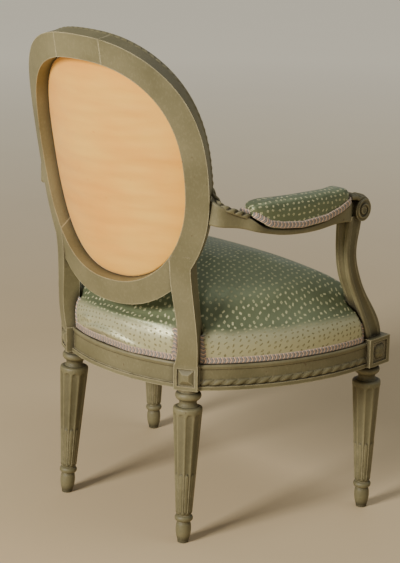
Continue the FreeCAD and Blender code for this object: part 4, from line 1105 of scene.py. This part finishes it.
def pressed_to(surface, route, probe):
    """Moves a route level to a cloth's surface, looked for probe above it, at its own height and facing."""
    pressed = []
    for point, outward in route:
        place = surface.find_nearest(point + UP * probe)[0]
        pressed.append((Vector((place.x, place.y, point.z)), outward))
    return pressed


def laid_on(surface, route, smoothing=2):
    """Moves a rough route on to a cloth's surface and takes its facing from there."""
    laid = []
    for point, outward in route:
        place, normal, _, _ = surface.find_nearest(point)
        if normal.dot(outward) < 0:
            normal = -normal
        laid.append((place, (normal + outward * 0.6).normalized()))
    for _ in range(smoothing):
        inner = [((before[0] + here[0] * 2 + after[0]) / 4,
                  (before[1] + here[1] * 2 + after[1]).normalized())
                 for before, here, after in zip(laid, laid[1:], laid[2:])]
        laid = [laid[0]] + inner + [laid[-1]]
    return laid


def gimp(name, route, closed=False):
    return relief_strip(name, evenly(route, 0.0008, closed), GIMP["width"], 9, gimp_height, WOVEN_GIMP,
                        closed, sunk=0.0008)


seat_surface = surface_of(seat)
GIMP_LINE, GIMP_INSET = RAIL_TOP + 0.0062, 0.004
SIDE_SHIFT, FRONT_SHIFT = (0.004, 0.012), 0.004
right_edge = arc_route(RIGHT_ARC, side_start + SIDE_SHIFT[0], side_end + SIDE_SHIFT[1], GIMP_LINE, GIMP_INSET)
back_edge = arc_route(BACK_ARC, back_start, back_end, GIMP_LINE, GIMP_INSET)
front_edge = arc_route(FRONT_ARC, front_start - FRONT_SHIFT, front_end + FRONT_SHIFT, GIMP_LINE, GIMP_INSET)


def rising(base, outward, height, steps=14):
    """Route straight up beside a post from the rail."""
    overlap = GIMP["width"] * 0.45
    low = base - UP * overlap
    return [(low + UP * (height + overlap) * step / steps, outward) for step in range(steps + 1)]


def beside_posts(edge, start_height, end_height):
    """An edge's route with a rise at either end, where the cloth meets the posts."""
    first, last = edge[0], edge[-1]
    return rising(first[0], first[1], start_height)[::-1], edge, rising(last[0], last[1], end_height)


seat_gimps = []
for name, edge, start_height, end_height in (
        ("right", right_edge, 0.044, 0.030), ("left", mirrored(right_edge), 0.044, 0.030),
        ("back", back_edge, 0.050, 0.050), ("front", front_edge, 0.0, 0.0)):
    for part, route in zip(("start", "edge", "end"), beside_posts(edge, start_height, end_height)):
        if part != "edge" and not (start_height and end_height):
            continue
        laid = pressed_to(seat_surface, evenly(route, 0.003), 0.005)
        seat_gimps.append(gimp("seat_gimp_%s_%s" % (name, part), laid))
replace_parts(seat_gimps[0], "seat_gimp")

PAD_GIMP_LIFT, PAD_GIMP_CLEAR, PAD_GIMP_TURN = 0.0062, 0.0002, 2.2
for side, sign in (("right", -1), ("left", 1)):
    loop = []
    for way, rows in ((-1, PAD_ROWS), (1, PAD_ROWS[::-1])):
        for y, middle, top, share in rows:
            endwise = PAD_GIMP_TURN * (1 - share) * (1 if y > 0 else -1)
            across = sign * middle + way * (PAD_WIDTH / 2 * share + PAD_GIMP_CLEAR)
            loop.append((Vector((across, y, top + PAD_GIMP_LIFT)), Vector((way, endwise, 0)).normalized()))
    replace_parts(gimp("arm_gimp_" + side, evenly(loop, 0.002, True), True), "arm_pad_gimp_" + side)

BACK_GIMP_OUT, BACK_GIMP_RISE = 0.0075, 0.006
back_surface = surface_of(inside_back)
ring = oval_route(OVAL_BORDER - BACK_GIMP_OUT, OVAL_THICK + BACK_GIMP_RISE, 0.0, math.tau * 359 / 360, 0.55, 240)
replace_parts(gimp("inside_back_gimp", laid_on(back_surface, evenly(ring, 0.003, True)), True), "back_gimp")

# The chair stands on a plain pale floor in soft light, seen from behind its right rear leg.
FLOOR = (220, 198, 158)
FLOOR_REACH, FLOOR_DROP = 30, 0.0002
FAR_GLOW = (0.38, 0.375, 0.325, 1.0)


def pale_floor():
    finish = Finish("pale_floor")
    place = finish.node("TexCoord", output="Object")
    cloud = finish.noise(place, 3, 4)
    colour = finish.mix(cloud, shade(*FLOOR), shade(*(part - 8 for part in FLOOR)))
    distance = finish.node("VectorMath", {"operation": "LENGTH"}, {0: place}, "Value")
    # Beyond a metre the floor glows more and more: a painted light brightening the far floor and the background.
    glow = finish.mix(((distance - 1.0) / 4).clamped(), (0.0, 0.0, 0.0, 1.0), FAR_GLOW)
    return finish.cover(Base_Color=colour, Roughness=0.8, Emission_Color=glow, Emission_Strength=1.0)


floor_mesh = bpy.data.meshes.new("floor")
corners = [(x * FLOOR_REACH, y * FLOOR_REACH, -FLOOR_DROP) for x, y in ((-1, -1), (1, -1), (1, 1), (-1, 1))]
floor_mesh.from_pydata(corners, [], [(0, 1, 2, 3)])
floor_mesh.materials.append(pale_floor())
floor = bpy.data.objects.new("floor", floor_mesh)
bpy.context.scene.collection.objects.link(floor)

CAMERA_PLACE = Vector((-2.0468, 2.0709, 1.2744))
CAMERA_YAW, CAMERA_PITCH, CAMERA_ROLL = 0.76678, 0.28919, 0.014217
CAMERA_LENS = 109.54
ahead = Vector((math.sin(CAMERA_YAW) * math.cos(CAMERA_PITCH), -math.cos(CAMERA_YAW) * math.cos(CAMERA_PITCH),
                -math.sin(CAMERA_PITCH)))
level = ahead.cross(UP).normalized()
upright = level.cross(ahead)
sideways = level * math.cos(CAMERA_ROLL) + upright * math.sin(CAMERA_ROLL)
upwards = upright * math.cos(CAMERA_ROLL) - level * math.sin(CAMERA_ROLL)
camera_data = bpy.data.cameras.new("camera")
camera_data.lens = CAMERA_LENS
camera = bpy.data.objects.new("camera", camera_data)
facing = Matrix((sideways, upwards, -ahead)).transposed().to_4x4()
camera.matrix_world = Matrix.Translation(CAMERA_PLACE) @ facing
bpy.context.scene.collection.objects.link(camera)
bpy.context.scene.camera = camera


def soft_light(name, place, aim, size, power, colour):
    data = bpy.data.lights.new(name, "AREA")
    data.size = size
    data.energy = power
    data.color = colour
    lamp = bpy.data.objects.new(name, data)
    lamp.location = place
    lamp.rotation_euler = (Vector(aim) - Vector(place)).to_track_quat("-Z", "Y").to_euler()
    bpy.context.scene.collection.objects.link(lamp)


soft_light("window_light", (0.1, 3.3, 1.9), (0, 0, 0.45), 0.9, 140, (1.0, 0.95, 0.88))
soft_light("overhead_light", (-0.8, -0.5, 2.6), (0, 0, 0.4), 1.1, 9, (1.0, 0.98, 0.95))
soft_light("front_light", (1.2, -3.0, 2.4), (0, 0, 0.4), 2.4, 8, (0.96, 0.98, 1.0))
world = bpy.data.worlds.new("studio")
world.use_nodes = True
world.node_tree.nodes["Background"].inputs["Color"].default_value = (0.72, 0.71, 0.68, 1)
world.node_tree.nodes["Background"].inputs["Strength"].default_value = 0.31
bpy.context.scene.world = world
